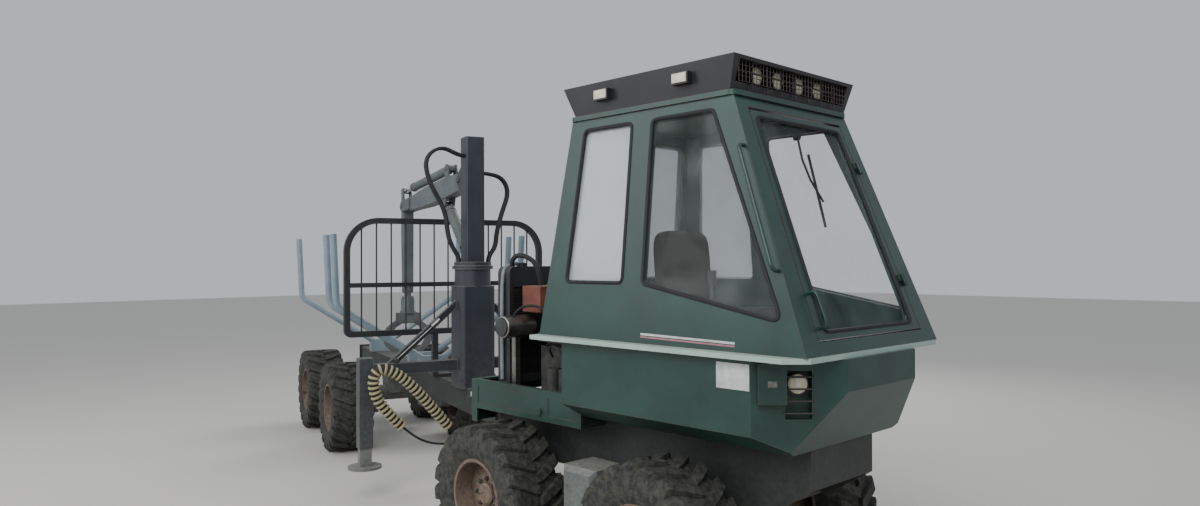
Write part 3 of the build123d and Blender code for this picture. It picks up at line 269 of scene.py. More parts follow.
def dustyGlass(look):
    # toughened cab glass with a film of dust, thin where it is wiped and milky on the rear quarters
    material, tree, shader, place = newMaterial(look["name"], {
        "IOR": 1.5, "Roughness": 0.06, "Base Color": linearColour(look["tint"])})
    cloud = addNode(tree, "ShaderNodeTexNoise", {"Scale": 1 / look["patch"], "Detail": 8.0, "Roughness": 0.6,
                                                 "Distortion": 0.5}, {"Vector": place})
    film = addNode(tree, "ShaderNodeMapRange", {"From Min": 0.3, "From Max": 0.75, "To Min": look["thin"],
                                                "To Max": look["thick"]}, {"Value": cloud.outputs["Fac"]})
    along = addNode(tree, "ShaderNodeSeparateXYZ", {}, {0: place})
    milk = addNode(tree, "ShaderNodeMapRange", {"From Min": look["milkEnd"] + 0.1, "From Max": look["milkEnd"],
                                                "To Max": look["milk"]}, {"Value": along.outputs["X"]})
    whole = addNode(tree, "ShaderNodeMath", {"operation": "ADD", "use_clamp": True},
                    {0: film.outputs["Result"], 1: milk.outputs["Result"]})
    tree.links.new(whole.outputs[0], shader.inputs["Alpha"])
    return material


# each row gives one finish, its values in the order of the columns
enamelColumns = ("name", "colour", "faded", "dust", "under", "patch", "dustTop", "dustLow", "edge", "wear",
                 "rustFrom", "rough")
enamels = {
    "greenPaint": ("green machine enamel", "0c2d26", "173e36", "5d6a60", "6a4a35", 0.35, 0.35, 0.18, 0.006,
                   0.7, 0.76, 0.42),
    "mintPaint": ("mint fender enamel", "8fa9a0", "a9bcb4", "b9b9ae", "6d5138", 0.4, 0.4, 0.2, 0.005, 0.5,
                  0.78, 0.45),
    "blackPaint": ("black rack enamel", "15171b", "24262b", "6f6d68", "5b3a26", 0.3, 0.4, 0.3, 0.005, 0.6,
                   0.76, 0.5),
    "pillarPaint": ("dark crane enamel", "20242c", "2f343c", "85827a", "8a8378", 0.3, 0.5, 0.3, 0.010, 0.9,
                    0.74, 0.5),
    "greyPaint": ("grey frame enamel", "474e52", "5e6566", "8c897e", "5f3f2a", 0.25, 0.6, 0.6, 0.008, 0.8,
                  0.68, 0.6),
    # frame enamel: its near-black is partly the frames' own dark paint and partly painted shade, the shadow
    # under the cab and tub
    "frameShadePaint": ("frame enamel with painted shade", "1c2222", "2a302f", "6a6860", "4d3324", 0.25, 0.55, 0.28, 0.008, 0.8,
                   0.70, 0.65),
    "paleBluePaint": ("pale blue stake enamel", "6f8390", "8797a1", "9b988e", "5a3d2b", 0.2, 0.5, 0.4, 0.006,
                      0.8, 0.70, 0.5),
    "redBrownPaint": ("red-brown engine enamel", "5f2f24", "7a4636", "7c7266", "3a2a22", 0.1, 0.5, 0.3,
                      0.005, 0.6, 0.72, 0.55),
    "rimPaint": ("rusted wheel enamel", "4f3a2f", "6b5546", "7d7467", "4a2c1c", 0.08, 0.5, 0.8, 0.006, 0.8,
                 0.56, 0.7),
}
surfaceColumns = ("name", "colour", "second", "patch", "rough", "grain", "bump", "metallic")
surfaces = {
    "castIron": ("oily cast iron", "2c2d2e", "4b4a46", 0.06, (0.45, 0.8), 0.004, 0.35),
    "bareSteel": ("bright worn steel", "9a9a97", "6f6b64", 0.08, (0.25, 0.5), 0.003, 0.1, 1.0),
    "chromeRod": ("hard chromed rod", "c9ccd0", "b0b3b6", 0.2, (0.08, 0.2), 0.01, 0.02, 1.0),
    "blackRubber": ("moulded black rubber", "141416", "232325", 0.05, (0.6, 0.8), 0.003, 0.15),
    "yellowPlastic": ("dusty yellow ribbed plastic", "a59c74", "8d8669", 0.05, (0.5, 0.75), 0.004, 0.2),
    "dashPlastic": ("grained dark plastic", "2a2b2d", "3b3c3d", 0.06, (0.55, 0.7), 0.0015, 0.3),
    "whitePlastic": ("bare white plate", "c9cbca", "aeb1af", 0.05, (0.4, 0.6), 0.004, 0.05),
    "seatCloth": ("dark seat cloth", "221a16", "332720", 0.02, (0.85, 0.95), 0.0015, 0.5),
    "seatSide": ("worn orange-brown vinyl", "6b3b22", "4c2c1c", 0.05, (0.5, 0.7), 0.002, 0.2),
    "lampGlass": ("fluted lamp glass", "d8d3bf", "b9b298", 0.03, (0.12, 0.3), 0.004, 0.3),
    "tyreRubber": ("dusty tyre rubber", "1f2122", "48473f", 0.035, (0.75, 0.95), 0.004, 0.35),
    "paleHose": ("pale grey pipe sleeve", "7f868a", "696f72", 0.05, (0.5, 0.7), 0.003, 0.1),
    "whiteStripe": ("white sprayed stripe", "c6cbc8", "a3aaa6", 0.06, (0.4, 0.6), 0.004, 0.05),
    "pinkStripe": ("faded pink stripe", "a9707a", "94636b", 0.06, (0.4, 0.6), 0.004, 0.05),
}
cabGlass = {
    "name": "dusty cab glass",
    "tint": "c7d0cf",
    "patch": 0.35,
    "thin": 0.01,
    "thick": 0.08,
    "milkEnd": 2.66,
    "milk": 0.40,
}
finishes = {key: paintedSteel(dict(zip(enamelColumns, row))) for key, row in enamels.items()}
finishes.update({key: mottled(dict(zip(surfaceColumns, row))) for key, row in surfaces.items()})
finishes["glass"] = dustyGlass(cabGlass)

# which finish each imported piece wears
nodeFinish = {
    "greenPaint": ("cab_tub", "engine_tray", "cab_frame", "roof", "front_door"),
    "mintPaint": ("belt_flange",),
    "blackPaint": ("lamp_rack", "headboard", "radiator"),
    "pillarPaint": ("crane_pillar", "crane_base"),
    # the frames wear the enamel darkened with painted shade from the cab and tub above
    "frameShadePaint": ("front_frame", "rear_frame"),
    "greyPaint": ("bogies_front", "bogies_rear", "leg_left", "leg_right", "boom", "stick",
                  "rotator", "grapple_head", "jaw_left", "jaw_right", "lift_barrel", "stick_barrel"),
    "paleBluePaint": ("bunks",),
    "castIron": ("engine", "steer_barrel_left", "steer_barrel_right"),
    "bareSteel": ("air_cleaner",),
    "redBrownPaint": ("expansion_tank",),
    "yellowPlastic": ("hose_guard",),
    "glass": ("cab_glass", "windscreen"),
    "chromeRod": ("lift_rod", "stick_rod", "steer_rod_left", "steer_rod_right"),
    "seatCloth": ("seat",),
    "dashPlastic": ("consoles",),
    "rimPaint": tuple(name for name in nodes if name.startswith("rim_")),
    "blackRubber": ("crane_hoses",) + tuple(name for name in nodes if name.startswith("tyre_")),
}
for finishName, names in nodeFinish.items():
    for name in names:
        if name in nodes:
            for slot in nodes[name].material_slots:
                slot.material = finishes[finishName]
print("finishes set on", len(nodes), "packed pieces")


# Repeats: one small mesh set out in a row or a ring by Geometry Nodes

def openTree(name, inputs):
    # an empty tree with a geometry input, these inputs and a finish
    tree = bpy.data.node_groups.new(name, "GeometryNodeTree")
    sockets = {}
    for label, kind in (("Geometry", "Geometry"), *inputs, ("Finish", "Material")):
        socket = tree.interface.new_socket(name=label, in_out="INPUT", socket_type="NodeSocket" + kind)
        sockets[label] = socket.identifier
    tree.interface.new_socket(name="Geometry", in_out="OUTPUT", socket_type="NodeSocketGeometry")
    return tree, sockets, addNode(tree, "NodeGroupInput").outputs


def closeTree(tree, given, points, shape, turn):
    # a copy of the shape on every point, made real and given its finish
    copies = addNode(tree, "GeometryNodeInstanceOnPoints", {}, {"Points": points, "Instance": shape,
                                                                "Rotation": turn})
    real = addNode(tree, "GeometryNodeRealizeInstances", {}, {"Geometry": copies.outputs[0]})
    finished = addNode(tree, "GeometryNodeSetMaterial", {}, {"Geometry": real.outputs[0],
                                                             "Material": given["Finish"]})
    addNode(tree, "NodeGroupOutput", {}, {"Geometry": finished.outputs[0]})


def buildRepeatTree():
    tree, sockets, given = openTree("row or ring", (("Count", "Int"), ("Step", "Vector"), ("Turn", "Vector")))
    number = addNode(tree, "GeometryNodeInputIndex").outputs["Index"]
    points = addNode(tree, "GeometryNodePoints", {}, {"Count": given["Count"]})
    offset = addNode(tree, "ShaderNodeVectorMath", {"operation": "SCALE"}, {0: given["Step"], "Scale": number})
    turn = addNode(tree, "ShaderNodeVectorMath", {"operation": "SCALE"}, {0: given["Turn"], "Scale": number})
    spread = addNode(tree, "GeometryNodeSetPosition", {}, {"Geometry": points.outputs[0],
                                                           "Position": offset.outputs[0]})
    closeTree(tree, given, spread.outputs[0], given["Geometry"], turn.outputs[0])
    return tree, sockets


repeatTree, repeatSockets = buildRepeatTree()


def runNodes(data, tree, sockets, values):
    # the tree's result on this mesh or curve, as a plain mesh
    holder = bpy.data.objects.new("holder", data)
    bpy.context.scene.collection.objects.link(holder)
    modifier = holder.modifiers.new("nodes", "NODES")
    modifier.node_group = tree
    for label, value in values.items():
        modifier[sockets[label]] = value
    graph = bpy.context.evaluated_depsgraph_get()
    result = bpy.data.meshes.new_from_object(holder.evaluated_get(graph))
    bpy.data.objects.remove(holder)
    return result


def repeatMesh(bm, count, finish, step=(0.0, 0.0, 0.0), turn=(0.0, 0.0, 0.0)):
    bmesh.ops.recalc_face_normals(bm, faces=bm.faces)
    mesh = bpy.data.meshes.new("one")
    bm.to_mesh(mesh)
    bm.free()
    return runNodes(mesh, repeatTree, repeatSockets, {"Count": count, "Step": step, "Turn": turn,
                                                      "Finish": finish})


# Tyres: a round casing with curved chevron lugs, and a ring of nuts on each wheel's disc
tyreLook = {
    "wheelY": 0.650,
    "wheelZ": 0.4425,
    "spacing": 0.690,
    "bogies": {"front": 1.320, "rear": -3.650},
    # the casing's section: distance across from its middle, and radius
    "casing": ((-0.165, 0.2226), (-0.186, 0.250), (-0.197, 0.305), (-0.198, 0.345), (-0.188, 0.380),
               (-0.165, 0.403), (-0.120, 0.413), (0.0, 0.4165), (0.120, 0.413), (0.165, 0.403), (0.188, 0.380),
               (0.198, 0.345), (0.197, 0.305), (0.186, 0.250), (0.165, 0.2226), (-0.165, 0.2226)),
    "casingSides": 64,
}
lugLook = {
    "count": 20,
    "steps": 10,
    "inner": 0.005,
    "reach": 0.190,
    "treadR": 0.43,
    # how far ahead of its own angle a lug starts, then how far and how roundly it falls back
    "lead": 0.042,
    "fall": 0.100,
    "bend": 1.25,
    "halfWidth": 0.041,
    "widthInner": 0.85,
    "widthGain": 0.35,
    "topShare": 0.72,
    "topR": 0.4415,
    "swell": 0.006,
    "endDrop": 0.014,
    "sink": 0.008,
}
nutLook = {
    "count": 8,
    "circle": 0.096,
    "r": 0.015,
    "span": (-0.0755, -0.091),
    "studR": (0.008, 0.007),
    "studSpan": (-0.090, -0.099),
}


def casingRadius(across):
    # the casing's radius at a distance across from its middle
    shoulder = tyreLook["casing"][7:12]
    for (nearY, nearR), (farY, farR) in zip(shoulder, shoulder[1:]):
        if across <= farY:
            return nearR + (farR - nearR) * (across - nearY) / (farY - nearY)
    return shoulder[-1][1]


def makeLug(way):
    # one bar of the chevron, from the tread's middle out over the shoulder
    bm = bmesh.new()
    rings = []
    for k in range(lugLook["steps"] + 1):
        share = k / lugLook["steps"]
        across = lugLook["inner"] + lugLook["reach"] * share
        sweep = (lugLook["lead"] - lugLook["fall"] * share ** lugLook["bend"]) / lugLook["treadR"]
        half = lugLook["halfWidth"] * (lugLook["widthInner"] + lugLook["widthGain"] * share) / lugLook["treadR"]
        low = casingRadius(across) - lugLook["sink"]
        high = lugLook["topR"] - lugLook["swell"] * share ** 2
        if k == lugLook["steps"]:
            high -= lugLook["endDrop"]
        top = lugLook["topShare"] * half
        rings.append([bm.verts.new((radius * sin(angle), way * across, radius * cos(angle)))
                      for radius, angle in ((low, sweep - half), (low, sweep + half), (high, sweep + top),
                                            (high, sweep - top))])
    for first, second in zip(rings, rings[1:]):
        for k in range(4):
            bm.faces.new((first[k], first[(k + 1) % 4], second[(k + 1) % 4], second[k]))
    bm.faces.new(rings[0])
    bm.faces.new(rings[-1][::-1])
    return bm


def makeTyre():
    bm = bmesh.new()
    addTurned(bm, (0, 0, 0), (0, 1, 0), tyreLook["casing"], sides=tyreLook["casingSides"], capped=False)
    step = 2 * pi / lugLook["count"]
    bmesh.ops.remove_doubles(bm, verts=bm.verts, dist=0.00001)
    for way in (-1, 1):
        lugs = repeatMesh(makeLug(way), lugLook["count"], finishes["tyreRubber"], turn=(0.0, step, 0.0))
        if way > 0:
            lugs.transform(Matrix.Rotation(step / 2, 4, "Y"))
        bm.from_mesh(lugs)
    bmesh.ops.recalc_face_normals(bm, faces=bm.faces)
    mesh = bpy.data.meshes.new("tyre")
    bm.to_mesh(mesh)
    bm.free()
    return mesh


tyreMesh = makeTyre()
nutBlock = bmesh.new()
nutEnds, studEnds = [[(nutLook["circle"], y, 0) for y in nutLook[span]] for span in ("span", "studSpan")]
addRound(nutBlock, *nutEnds, nutLook["r"], sides=6)
addRound(nutBlock, *studEnds, *nutLook["studR"], sides=10)
nutTurn = (0.0, 2 * pi / nutLook["count"], 0.0)
nutRing = repeatMesh(nutBlock, nutLook["count"], finishes["castIron"], turn=nutTurn)
for end, half in (("front", frontPlace), ("rear", rearPlace)):
    for side, way in (("right", -1), ("left", 1)):
        for row, reach in (("lead", tyreLook["spacing"]), ("trail", -tyreLook["spacing"])):
            wheel = f"{end}_{side}_{row}"
            hub = (tyreLook["bogies"][end] + reach, way * tyreLook["wheelY"], tyreLook["wheelZ"])
            spot = half @ Matrix.Translation(hub)
            tyre = keepMesh("lugged_tyre_" + wheel, tyreMesh.copy(), spot, "wheel_" + wheel,
                            finishes["tyreRubber"])
            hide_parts("tyre_" + wheel)
            facing = spot if way < 0 else spot @ Matrix.Rotation(pi, 4, "Z")
            keepMesh("wheel_nuts_" + wheel, nutRing.copy(), facing, "wheel_" + wheel, finishes["castIron"])
print("tyres and wheel nuts made")


# Cab walls: each one's place at the belt, and how far it has leant by the roof
cabLook = {
    "beltZ": 1.468,
    "rise": 1.267,
    "side": (0.655, -0.125),
    "front": (2.900, -0.488),
    "rear": (1.058, 0.167),
}


def cabWall(wall, z):
    foot, lean = cabLook[wall]
    return foot + lean * (z - cabLook["beltZ"]) / cabLook["rise"]


# Cab windows: black rubber seals round the panes
windowLook = {
    "cornerR": 0.035,
    "sealR": 0.011,
    "sealIn": 0.002,
    "rearQuarter": ((1.262, 1.785), (1.722, 1.785), (1.722, 2.672), (1.338, 2.672)),
    "frontQuarter": ((1.872, 1.785), (2.762, 1.622), (2.290, 2.672), (1.872, 2.672)),
    "rearWindow": ((-0.520, 1.790), (0.520, 1.790), (0.455, 2.660), (-0.455, 2.660)),
    "screen": ((-0.436, 1.572), (0.436, 1.572), (0.392, 2.632), (-0.392, 2.632)),
}
wiperLook = {
    "joints": ((-0.089, 2.557), (-0.120, 2.429), (-0.110, 2.322), (-0.058, 2.208)),
    "out": 0.014,
    "armR": 0.006,
    "hubR": 0.020,
    "hubSpan": (-0.016, 0.010),
    "bladeR": 0.007,
    "bladeOver": (0.02, 0.13),
}


def roundedLoop(corners, radius):
    # a window's outline with its corners turned by short arcs
    loop = []
    for k, corner in enumerate(corners):
        here = Vector(corner)
        back = (Vector(corners[k - 1]) - here).normalized()
        ahead = (Vector(corners[(k + 1) % len(corners)]) - here).normalized()
        reach = radius / tan(back.angle(ahead) / 2)
        for share in (0, 0.25, 0.5, 0.75, 1):
            start, end = here + back * reach, here + ahead * reach
            loop.append(start.lerp(here, share).lerp(here.lerp(end, share), share))
    return loop


def addSeal(bm, points, radius):
    curve = bpy.data.curves.new("seal", "CURVE")
    curve.dimensions = "3D"
    curve.bevel_depth = radius
    curve.bevel_resolution = 2
    spline = curve.splines.new("POLY")
    spline.points.add(len(points) - 1)
    for spot, point in zip(spline.points, points):
        spot.co = (*point, 1)
    spline.use_cyclic_u = True
    holder = bpy.data.objects.new("seal", curve)
    mesh = bpy.data.meshes.new_from_object(holder)
    bm.from_mesh(mesh)
    bpy.data.objects.remove(holder)
    bpy.data.meshes.remove(mesh)


seals = bmesh.new()
for way in (-1, 1):
    for name in ("rearQuarter", "frontQuarter"):
        loop = roundedLoop(windowLook[name], windowLook["cornerR"])
        addSeal(seals, [(x, way * (cabWall("side", z) - windowLook["sealIn"]), z) for x, z in loop],
                windowLook["sealR"])
loop = roundedLoop(windowLook["rearWindow"], windowLook["cornerR"])
addSeal(seals, [(cabWall("rear", z) + windowLook["sealIn"], y, z) for y, z in loop], windowLook["sealR"])
makePiece("window_seals", seals, frontPlace, "front_unit", finishes["blackRubber"])
screenSeal = bmesh.new()
loop = roundedLoop(windowLook["screen"], windowLook["cornerR"])
addSeal(screenSeal, [(cabWall("front", z) - windowLook["sealIn"], y, z) for y, z in loop], windowLook["sealR"])
makePiece("windscreen_seal", screenSeal, frontPlace, "door", finishes["blackRubber"])
wiper = bmesh.new()
joints = [Vector((cabWall("front", z) + wiperLook["out"], y, z)) for y, z in wiperLook["joints"]]
for start, end in zip(joints, joints[1:]):
    addRound(wiper, start, end, wiperLook["armR"], sides=10)
hubBack, hubFront = wiperLook["hubSpan"]
addRound(wiper, joints[0] + Vector((hubBack, 0, 0)), joints[0] + Vector((hubFront, 0, 0)), wiperLook["hubR"],
         sides=16)
bladeOver = Vector((0.0, *wiperLook["bladeOver"]))
bladeTop = joints[2] + Vector((0.0, -bladeOver.y, bladeOver.z))
addRound(wiper, bladeTop, joints[3] + Vector((0.0, bladeOver.y, -bladeOver.z)), wiperLook["bladeR"], sides=8)
makePiece("wiper", wiper, frontPlace, "door", finishes["blackRubber"])
print("window seals and wiper made")


# Lamp rack: wire mesh over its mouth and the lamps' glasses
rackLook = {
    "meshX": 2.431,
    "mouthY": 0.510,
    "low": 2.804,
    "high": 2.912,
    "wireR": 0.0017,
    "upright": 0.030,
    "across": 0.027,
    "lampZ": 2.865,
    "lampFront": 2.380,
    "lampYs": (-0.290, -0.100, 0.100, 0.290),
    "lampGlass": ((0, 0.045), (0.004, 0.044), (0.009, 0.032), (0.012, 0.0)),
    "sideLampXs": (1.531, 2.118),
    "sideLampHalf": 0.048,
    "sideLampY": (0.599, 0.606),
    "sideLampZ": (2.827, 2.876),
    "crossings": 5,
}
uprightCount = int(2 * rackLook["mouthY"] / rackLook["upright"]) + 1
meshX, mouthY, meshLow = [rackLook[key] for key in ("meshX", "mouthY", "low")]
wire = bmesh.new()
addRound(wire, (meshX, -mouthY, meshLow), (meshX, -mouthY, rackLook["high"]), rackLook["wireR"], sides=6)
uprights = repeatMesh(wire, uprightCount, finishes["blackPaint"], step=(0.0, rackLook["upright"], 0.0))
wire = bmesh.new()
addRound(wire, (meshX, -mouthY, meshLow), (meshX, mouthY, meshLow), rackLook["wireR"], sides=6)
crossings = repeatMesh(wire, rackLook["crossings"], finishes["blackPaint"], step=(0.0, 0.0, rackLook["across"]))
keepMesh("rack_mesh_uprights", uprights, frontPlace, "front_unit", finishes["blackPaint"])
keepMesh("rack_mesh_crossings", crossings, frontPlace, "front_unit", finishes["blackPaint"])
lamps = bmesh.new()
for y in rackLook["lampYs"]:
    addTurned(lamps, (rackLook["lampFront"] - 0.001, y, rackLook["lampZ"]), (1, 0, 0), rackLook["lampGlass"],
              sides=28)
(innerY, outerY), (lowZ, highZ) = rackLook["sideLampY"], rackLook["sideLampZ"]
for way in (-1, 1):
    for x in rackLook["sideLampXs"]:
        addBlock(lamps, (x - rackLook["sideLampHalf"], way * innerY, lowZ),
                 (x + rackLook["sideLampHalf"], way * outerY, highZ), edge=0.003)
makePiece("rack_lamp_glasses", lamps, frontPlace, "front_unit", finishes["lampGlass"])
print("lamp rack dressed")


# Headlamps in the tub's chamfered corners, each behind a guard of four rungs
headlampLook = {
    "x": 2.760,
    "bendX": 2.600,
    "noseX": 2.926,
    "bendY": 0.660,
    "noseY": 0.338,
    "pocketZ": 1.275,
    "pocketHalf": 0.063,
    "lampRise": {-1: 0.050, 1: -0.050},
    "lampIn": -0.023,
    "glass": ((0, 0.046), (0.006, 0.045), (0.013, 0.030), (0.016, 0.0)),
    "rungs": 4,
    "rungR": 0.0045,
    "rungOver": 0.012,
    "rungOut": 0.004,
    "rungLow": -0.085,
    "rungStep": 0.057,
}


def chamferPlace(way, x, z):
    # x runs along the chamfer towards the nose, y up and z straight out
    bendX, noseX, bendY, noseY = [headlampLook[key] for key in ("bendX", "noseX", "bendY", "noseY")]
    run = Vector((noseX - bendX, way * (noseY - bendY), 0))
    y = way * (bendY + (noseY - bendY) * (x - bendX) / (noseX - bendX))
    run.normalize()
    out = Vector((abs(run.y), way * run.x, 0))
    turned = Matrix((run, Vector((0, 0, 1)), out)).transposed().to_4x4()
    return Matrix.Translation((x, y, z)) @ turned


for way, side in ((-1, "right"), (1, "left")):
    place = frontPlace @ chamferPlace(way, headlampLook["x"], headlampLook["pocketZ"])
    lamp = bmesh.new()
    addTurned(lamp, (0, headlampLook["lampRise"][way], headlampLook["lampIn"]), (0, 0, 1),
              headlampLook["glass"], sides=28)
    makePiece("headlamp_glass_" + side, lamp, place, "front_unit", finishes["lampGlass"])
    rung = bmesh.new()
    rungEnd = headlampLook["pocketHalf"] + headlampLook["rungOver"]
    addRound(rung, (-rungEnd, headlampLook["rungLow"], headlampLook["rungOut"]),
             (rungEnd, headlampLook["rungLow"], headlampLook["rungOut"]), headlampLook["rungR"], sides=10)
    guard = repeatMesh(rung, headlampLook["rungs"], finishes["blackPaint"],
                       step=(0.0, headlampLook["rungStep"], 0.0))
    keepMesh("headlamp_guard_" + side, guard, place, "front_unit", finishes["blackPaint"])
print("headlamps made")


# Stripes and blank plates on the cab's sides
trimLook = {
    "stripeX": (1.885, 2.800),
    "stripeFall": 0.012,
    "stripeIn": 0.001,
    "stripeThick": 0.0018,
    # name, finish, and lower and upper edge
    "stripes": (("white", "whiteStripe", 1.513, 1.524), ("pink", "pinkStripe", 1.500, 1.508)),
    "plate": ((2.400, -0.6635, 1.292), (2.595, -0.6598, 1.418)),
    "lock": (2.668, 1.332),
    "lockPlate": ((-0.022, -0.014, 0.0425), (0.022, 0.014, 0.0462)),
    "keyhole": ((0.008, 0, 0.0455), (0.008, 0, 0.0525)),
    "keyholeR": 0.007,
    "edge": 0.001,
}
startX, endX = trimLook["stripeX"]
for way, side in ((-1, "right"), (1, "left")):
    for label, finish, low, high in trimLook["stripes"]:
        stripe = bmesh.new()
        lowY, highY = [way * (cabWall("side", z) - trimLook["stripeIn"]) for z in (low, high)]
        addPrism(stripe, [(startX, lowY, low), (endX, lowY, low - trimLook["stripeFall"]),
                          (endX, highY, high - trimLook["stripeFall"]), (startX, highY, high)],
                 (0, way * trimLook["stripeThick"], 0))
        makePiece(f"{label}_stripe_{side}", stripe, frontPlace, "front_unit", finishes[finish])
plate = bmesh.new()
addBlock(plate, *trimLook["plate"], edge=trimLook["edge"])
makePiece("blank_side_plate", plate, frontPlace, "front_unit", finishes["whitePlastic"])
lockPlate = bmesh.new()
addBlock(lockPlate, *trimLook["lockPlate"], edge=trimLook["edge"])
addRound(lockPlate, *trimLook["keyhole"], trimLook["keyholeR"], sides=14)
makePiece("lock_plate", lockPlate, frontPlace @ chamferPlace(-1, *trimLook["lock"]), "front_unit",
          finishes["bareSteel"])
print("stripes and plates made")


# Engine bay: radiator slats, pipes, hoses and cables
engineLook = {
    "slatPitch": 0.0125,
    "slatThick": 0.003,
    "slatZ": (1.136, 1.726),
    "cores": ((0.263, 0.279), (0.371, 0.387)),
    "coreYs": ((-0.319, -0.009), (0.009, 0.319)),
    "edgePipeR": 0.013,
    "edgePipe": ((0.325, -0.374, 1.10), (0.325, -0.376, 1.40), (0.325, -0.376, 1.80), (0.325, -0.34, 1.885),
                 (0.325, -0.24, 1.890)),
    # radius, and the points that the hose or cable follows
    "hoses": ((0.024, ((0.385, 0.10, 1.78), (0.47, 0.10, 1.80), (0.60, 0.10, 1.72), (0.62, 0.08, 1.60),
                       (0.62, 0.07, 1.52))),
              (0.017, ((0.33, -0.30, 1.862), (0.34, -0.30, 1.94), (0.44, -0.27, 1.95), (0.53, -0.22, 1.88),
                       (0.53, -0.20, 1.735))),
              (0.024, ((0.385, 0.27, 1.10), (0.45, 0.27, 1.09), (0.53, 0.23, 1.08), (0.56, 0.17, 1.08))),
              (0.009, ((0.49, -0.40, 1.545), (0.56, -0.40, 1.62), (0.72, -0.30, 1.60), (0.78, -0.24, 1.43))),
              (0.007, ((0.70, -0.24, 1.27), (0.72, -0.31, 1.34), (0.86, -0.33, 1.36), (0.95, -0.30, 1.20))),
              (0.007, ((1.02, -0.12, 1.50), (1.10, -0.14, 1.56), (1.18, -0.16, 1.48), (1.262, -0.18, 1.36)))),
    "cleanerAt": (0.49, -0.505, 1.470),
    "cleanerEnd": ((0, 0.060), (0.004, 0.062), (0.010, 0.060), (0.012, 0.050), (0.013, 0.0)),
}
slatLow, slatHigh = engineLook["slatZ"]
slatCount = int((slatHigh - slatLow) / engineLook["slatPitch"])
slat = bmesh.new()
for lowX, highX in engineLook["cores"]:
    for lowY, highY in engineLook["coreYs"]:
        addBlock(slat, (lowX, lowY, slatLow), (highX, highY, slatLow + engineLook["slatThick"]))
slats = repeatMesh(slat, slatCount, finishes["castIron"], step=(0.0, 0.0, engineLook["slatPitch"]))
keepMesh("radiator_slats", slats, frontPlace, "front_unit", finishes["castIron"])
edgePipe = bmesh.new()
addHose(edgePipe, engineLook["edgePipe"], engineLook["edgePipeR"])
makePiece("radiator_edge_pipe", edgePipe, frontPlace, "front_unit", finishes["paleHose"])
hoses = bmesh.new()
for radius, route in engineLook["hoses"]:
    addHose(hoses, route, radius)
makePiece("engine_hoses", hoses, frontPlace, "front_unit", finishes["blackRubber"])
cleanerEnd = bmesh.new()
addTurned(cleanerEnd, engineLook["cleanerAt"], (0, -1, 0), engineLook["cleanerEnd"], sides=36)
makePiece("air_cleaner_end", cleanerEnd, frontPlace, "front_unit", finishes["dashPlastic"])
print("engine bay dressed")


# Crane hoses: four hydraulic hoses that leave the pillar's sides and hang in loops to its disc
craneHoseLook = {
    "radius": 0.014,
    "rows": (-0.944, -0.908),
    "right": ((0.080, 2.790), (0.123, 2.790), (0.286, 2.863), (0.422, 2.757), (0.385, 2.558), (0.245, 2.330),
              (0.225, 2.120), (0.183, 2.019), (0.130, 1.941), (0.130, 1.9003)),
    "left": ((0.080, 2.650), (0.131, 2.650), (0.257, 2.623), (0.320, 2.501), (0.250, 2.311), (0.205, 2.150),
             (0.196, 2.029), (0.130, 1.945), (0.130, 1.9003)),
    "lengths": {"right": 1.27, "left": 0.93},
}


def freeHose(name, route, radius, sides, body, stoodFor=None):
    # a hose drawn as a curve through its given points between its two ends
    hose = hoseCurve(route, radius, sides)
    hose.name = name
    hose.data.resolution_u = 10
    hose.data.materials.append(finishes["blackRubber"])
    bpy.context.scene.collection.objects.link(hose)
    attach(hose, body)
    if stoodFor:
        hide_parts(stoodFor)


for side, way in (("right", -1), ("left", 1)):
    for number, rowX in enumerate(craneHoseLook["rows"]):
        freeHose(f"crane_hose_{side}_{number + 1}",
                 [rearPlace @ Vector((rowX, way * out, z)) for out, z in craneHoseLook[side]],
                 craneHoseLook["radius"], 5, "crane", "crane_hoses")
print("crane hoses made")


# Corrugated guard of the leg's hose: rings along its route over a dark tube
guardLook = {
    "route": ((-0.800, -0.270, 0.570), (-0.790, -0.545, 0.915), (-0.800, -0.770, 1.080),
              (-0.815, -0.868, 1.030), (-0.830, -0.850, 0.860), (-0.834, -0.760, 0.720),
              (-0.834, -0.640, 0.600)),
    "tubeR": 0.035,
    "ringR": 0.0365,
    "beadR": 0.0110,
    "rings": 34,
    "length": 1.30,
    "innerR": 0.009,
    "innerLengths": (0.47, 0.82),
    "inner": (((-0.799, -0.300, 0.608), (-0.801, -0.220, 0.507), (-0.800, -0.130, 0.455),
               (-0.800, -0.050, 0.500), (-0.800, -0.040, 0.600), (-0.800, -0.040, 0.665)),
              ((-0.834, -0.665, 0.625), (-0.834, -0.560, 0.520), (-0.820, -0.420, 0.440),
               (-0.805, -0.250, 0.420), (-0.795, -0.090, 0.470), (-0.795, -0.075, 0.590),
               (-0.795, -0.075, 0.665))),
}


def buildRingTree():
    tree, sockets, given = openTree("rings along a hose", (("Count", "Int"), ("Ring Radius", "Float"),
                                                           ("Bead Radius", "Float")))
    ringLine = addNode(tree, "GeometryNodeCurvePrimitiveCircle", {"Resolution": 28},
                       {"Radius": given["Ring Radius"]})
    beadLine = addNode(tree, "GeometryNodeCurvePrimitiveCircle", {"Resolution": 8},
                       {"Radius": given["Bead Radius"]})
    ring = addNode(tree, "GeometryNodeCurveToMesh", {}, {"Curve": ringLine.outputs["Curve"],
                                                         "Profile Curve": beadLine.outputs["Curve"]})
    spots = addNode(tree, "GeometryNodeCurveToPoints", {}, {"Curve": given["Geometry"],
                                                            "Count": given["Count"]})
    closeTree(tree, given, spots.outputs["Points"], ring.outputs["Mesh"], spots.outputs["Rotation"])
    return tree, sockets


def sampleCurve(curve):
    # the points along a curve as Blender draws it, and the length through them
    holder = bpy.data.objects.new("line", curve)
    line = bpy.data.meshes.new_from_object(holder)
    spots = [v.co.copy() for v in line.vertices]
    bpy.data.objects.remove(holder)
    bpy.data.meshes.remove(line)
    return spots, sum((b - a).length for a, b in zip(spots, spots[1:]))


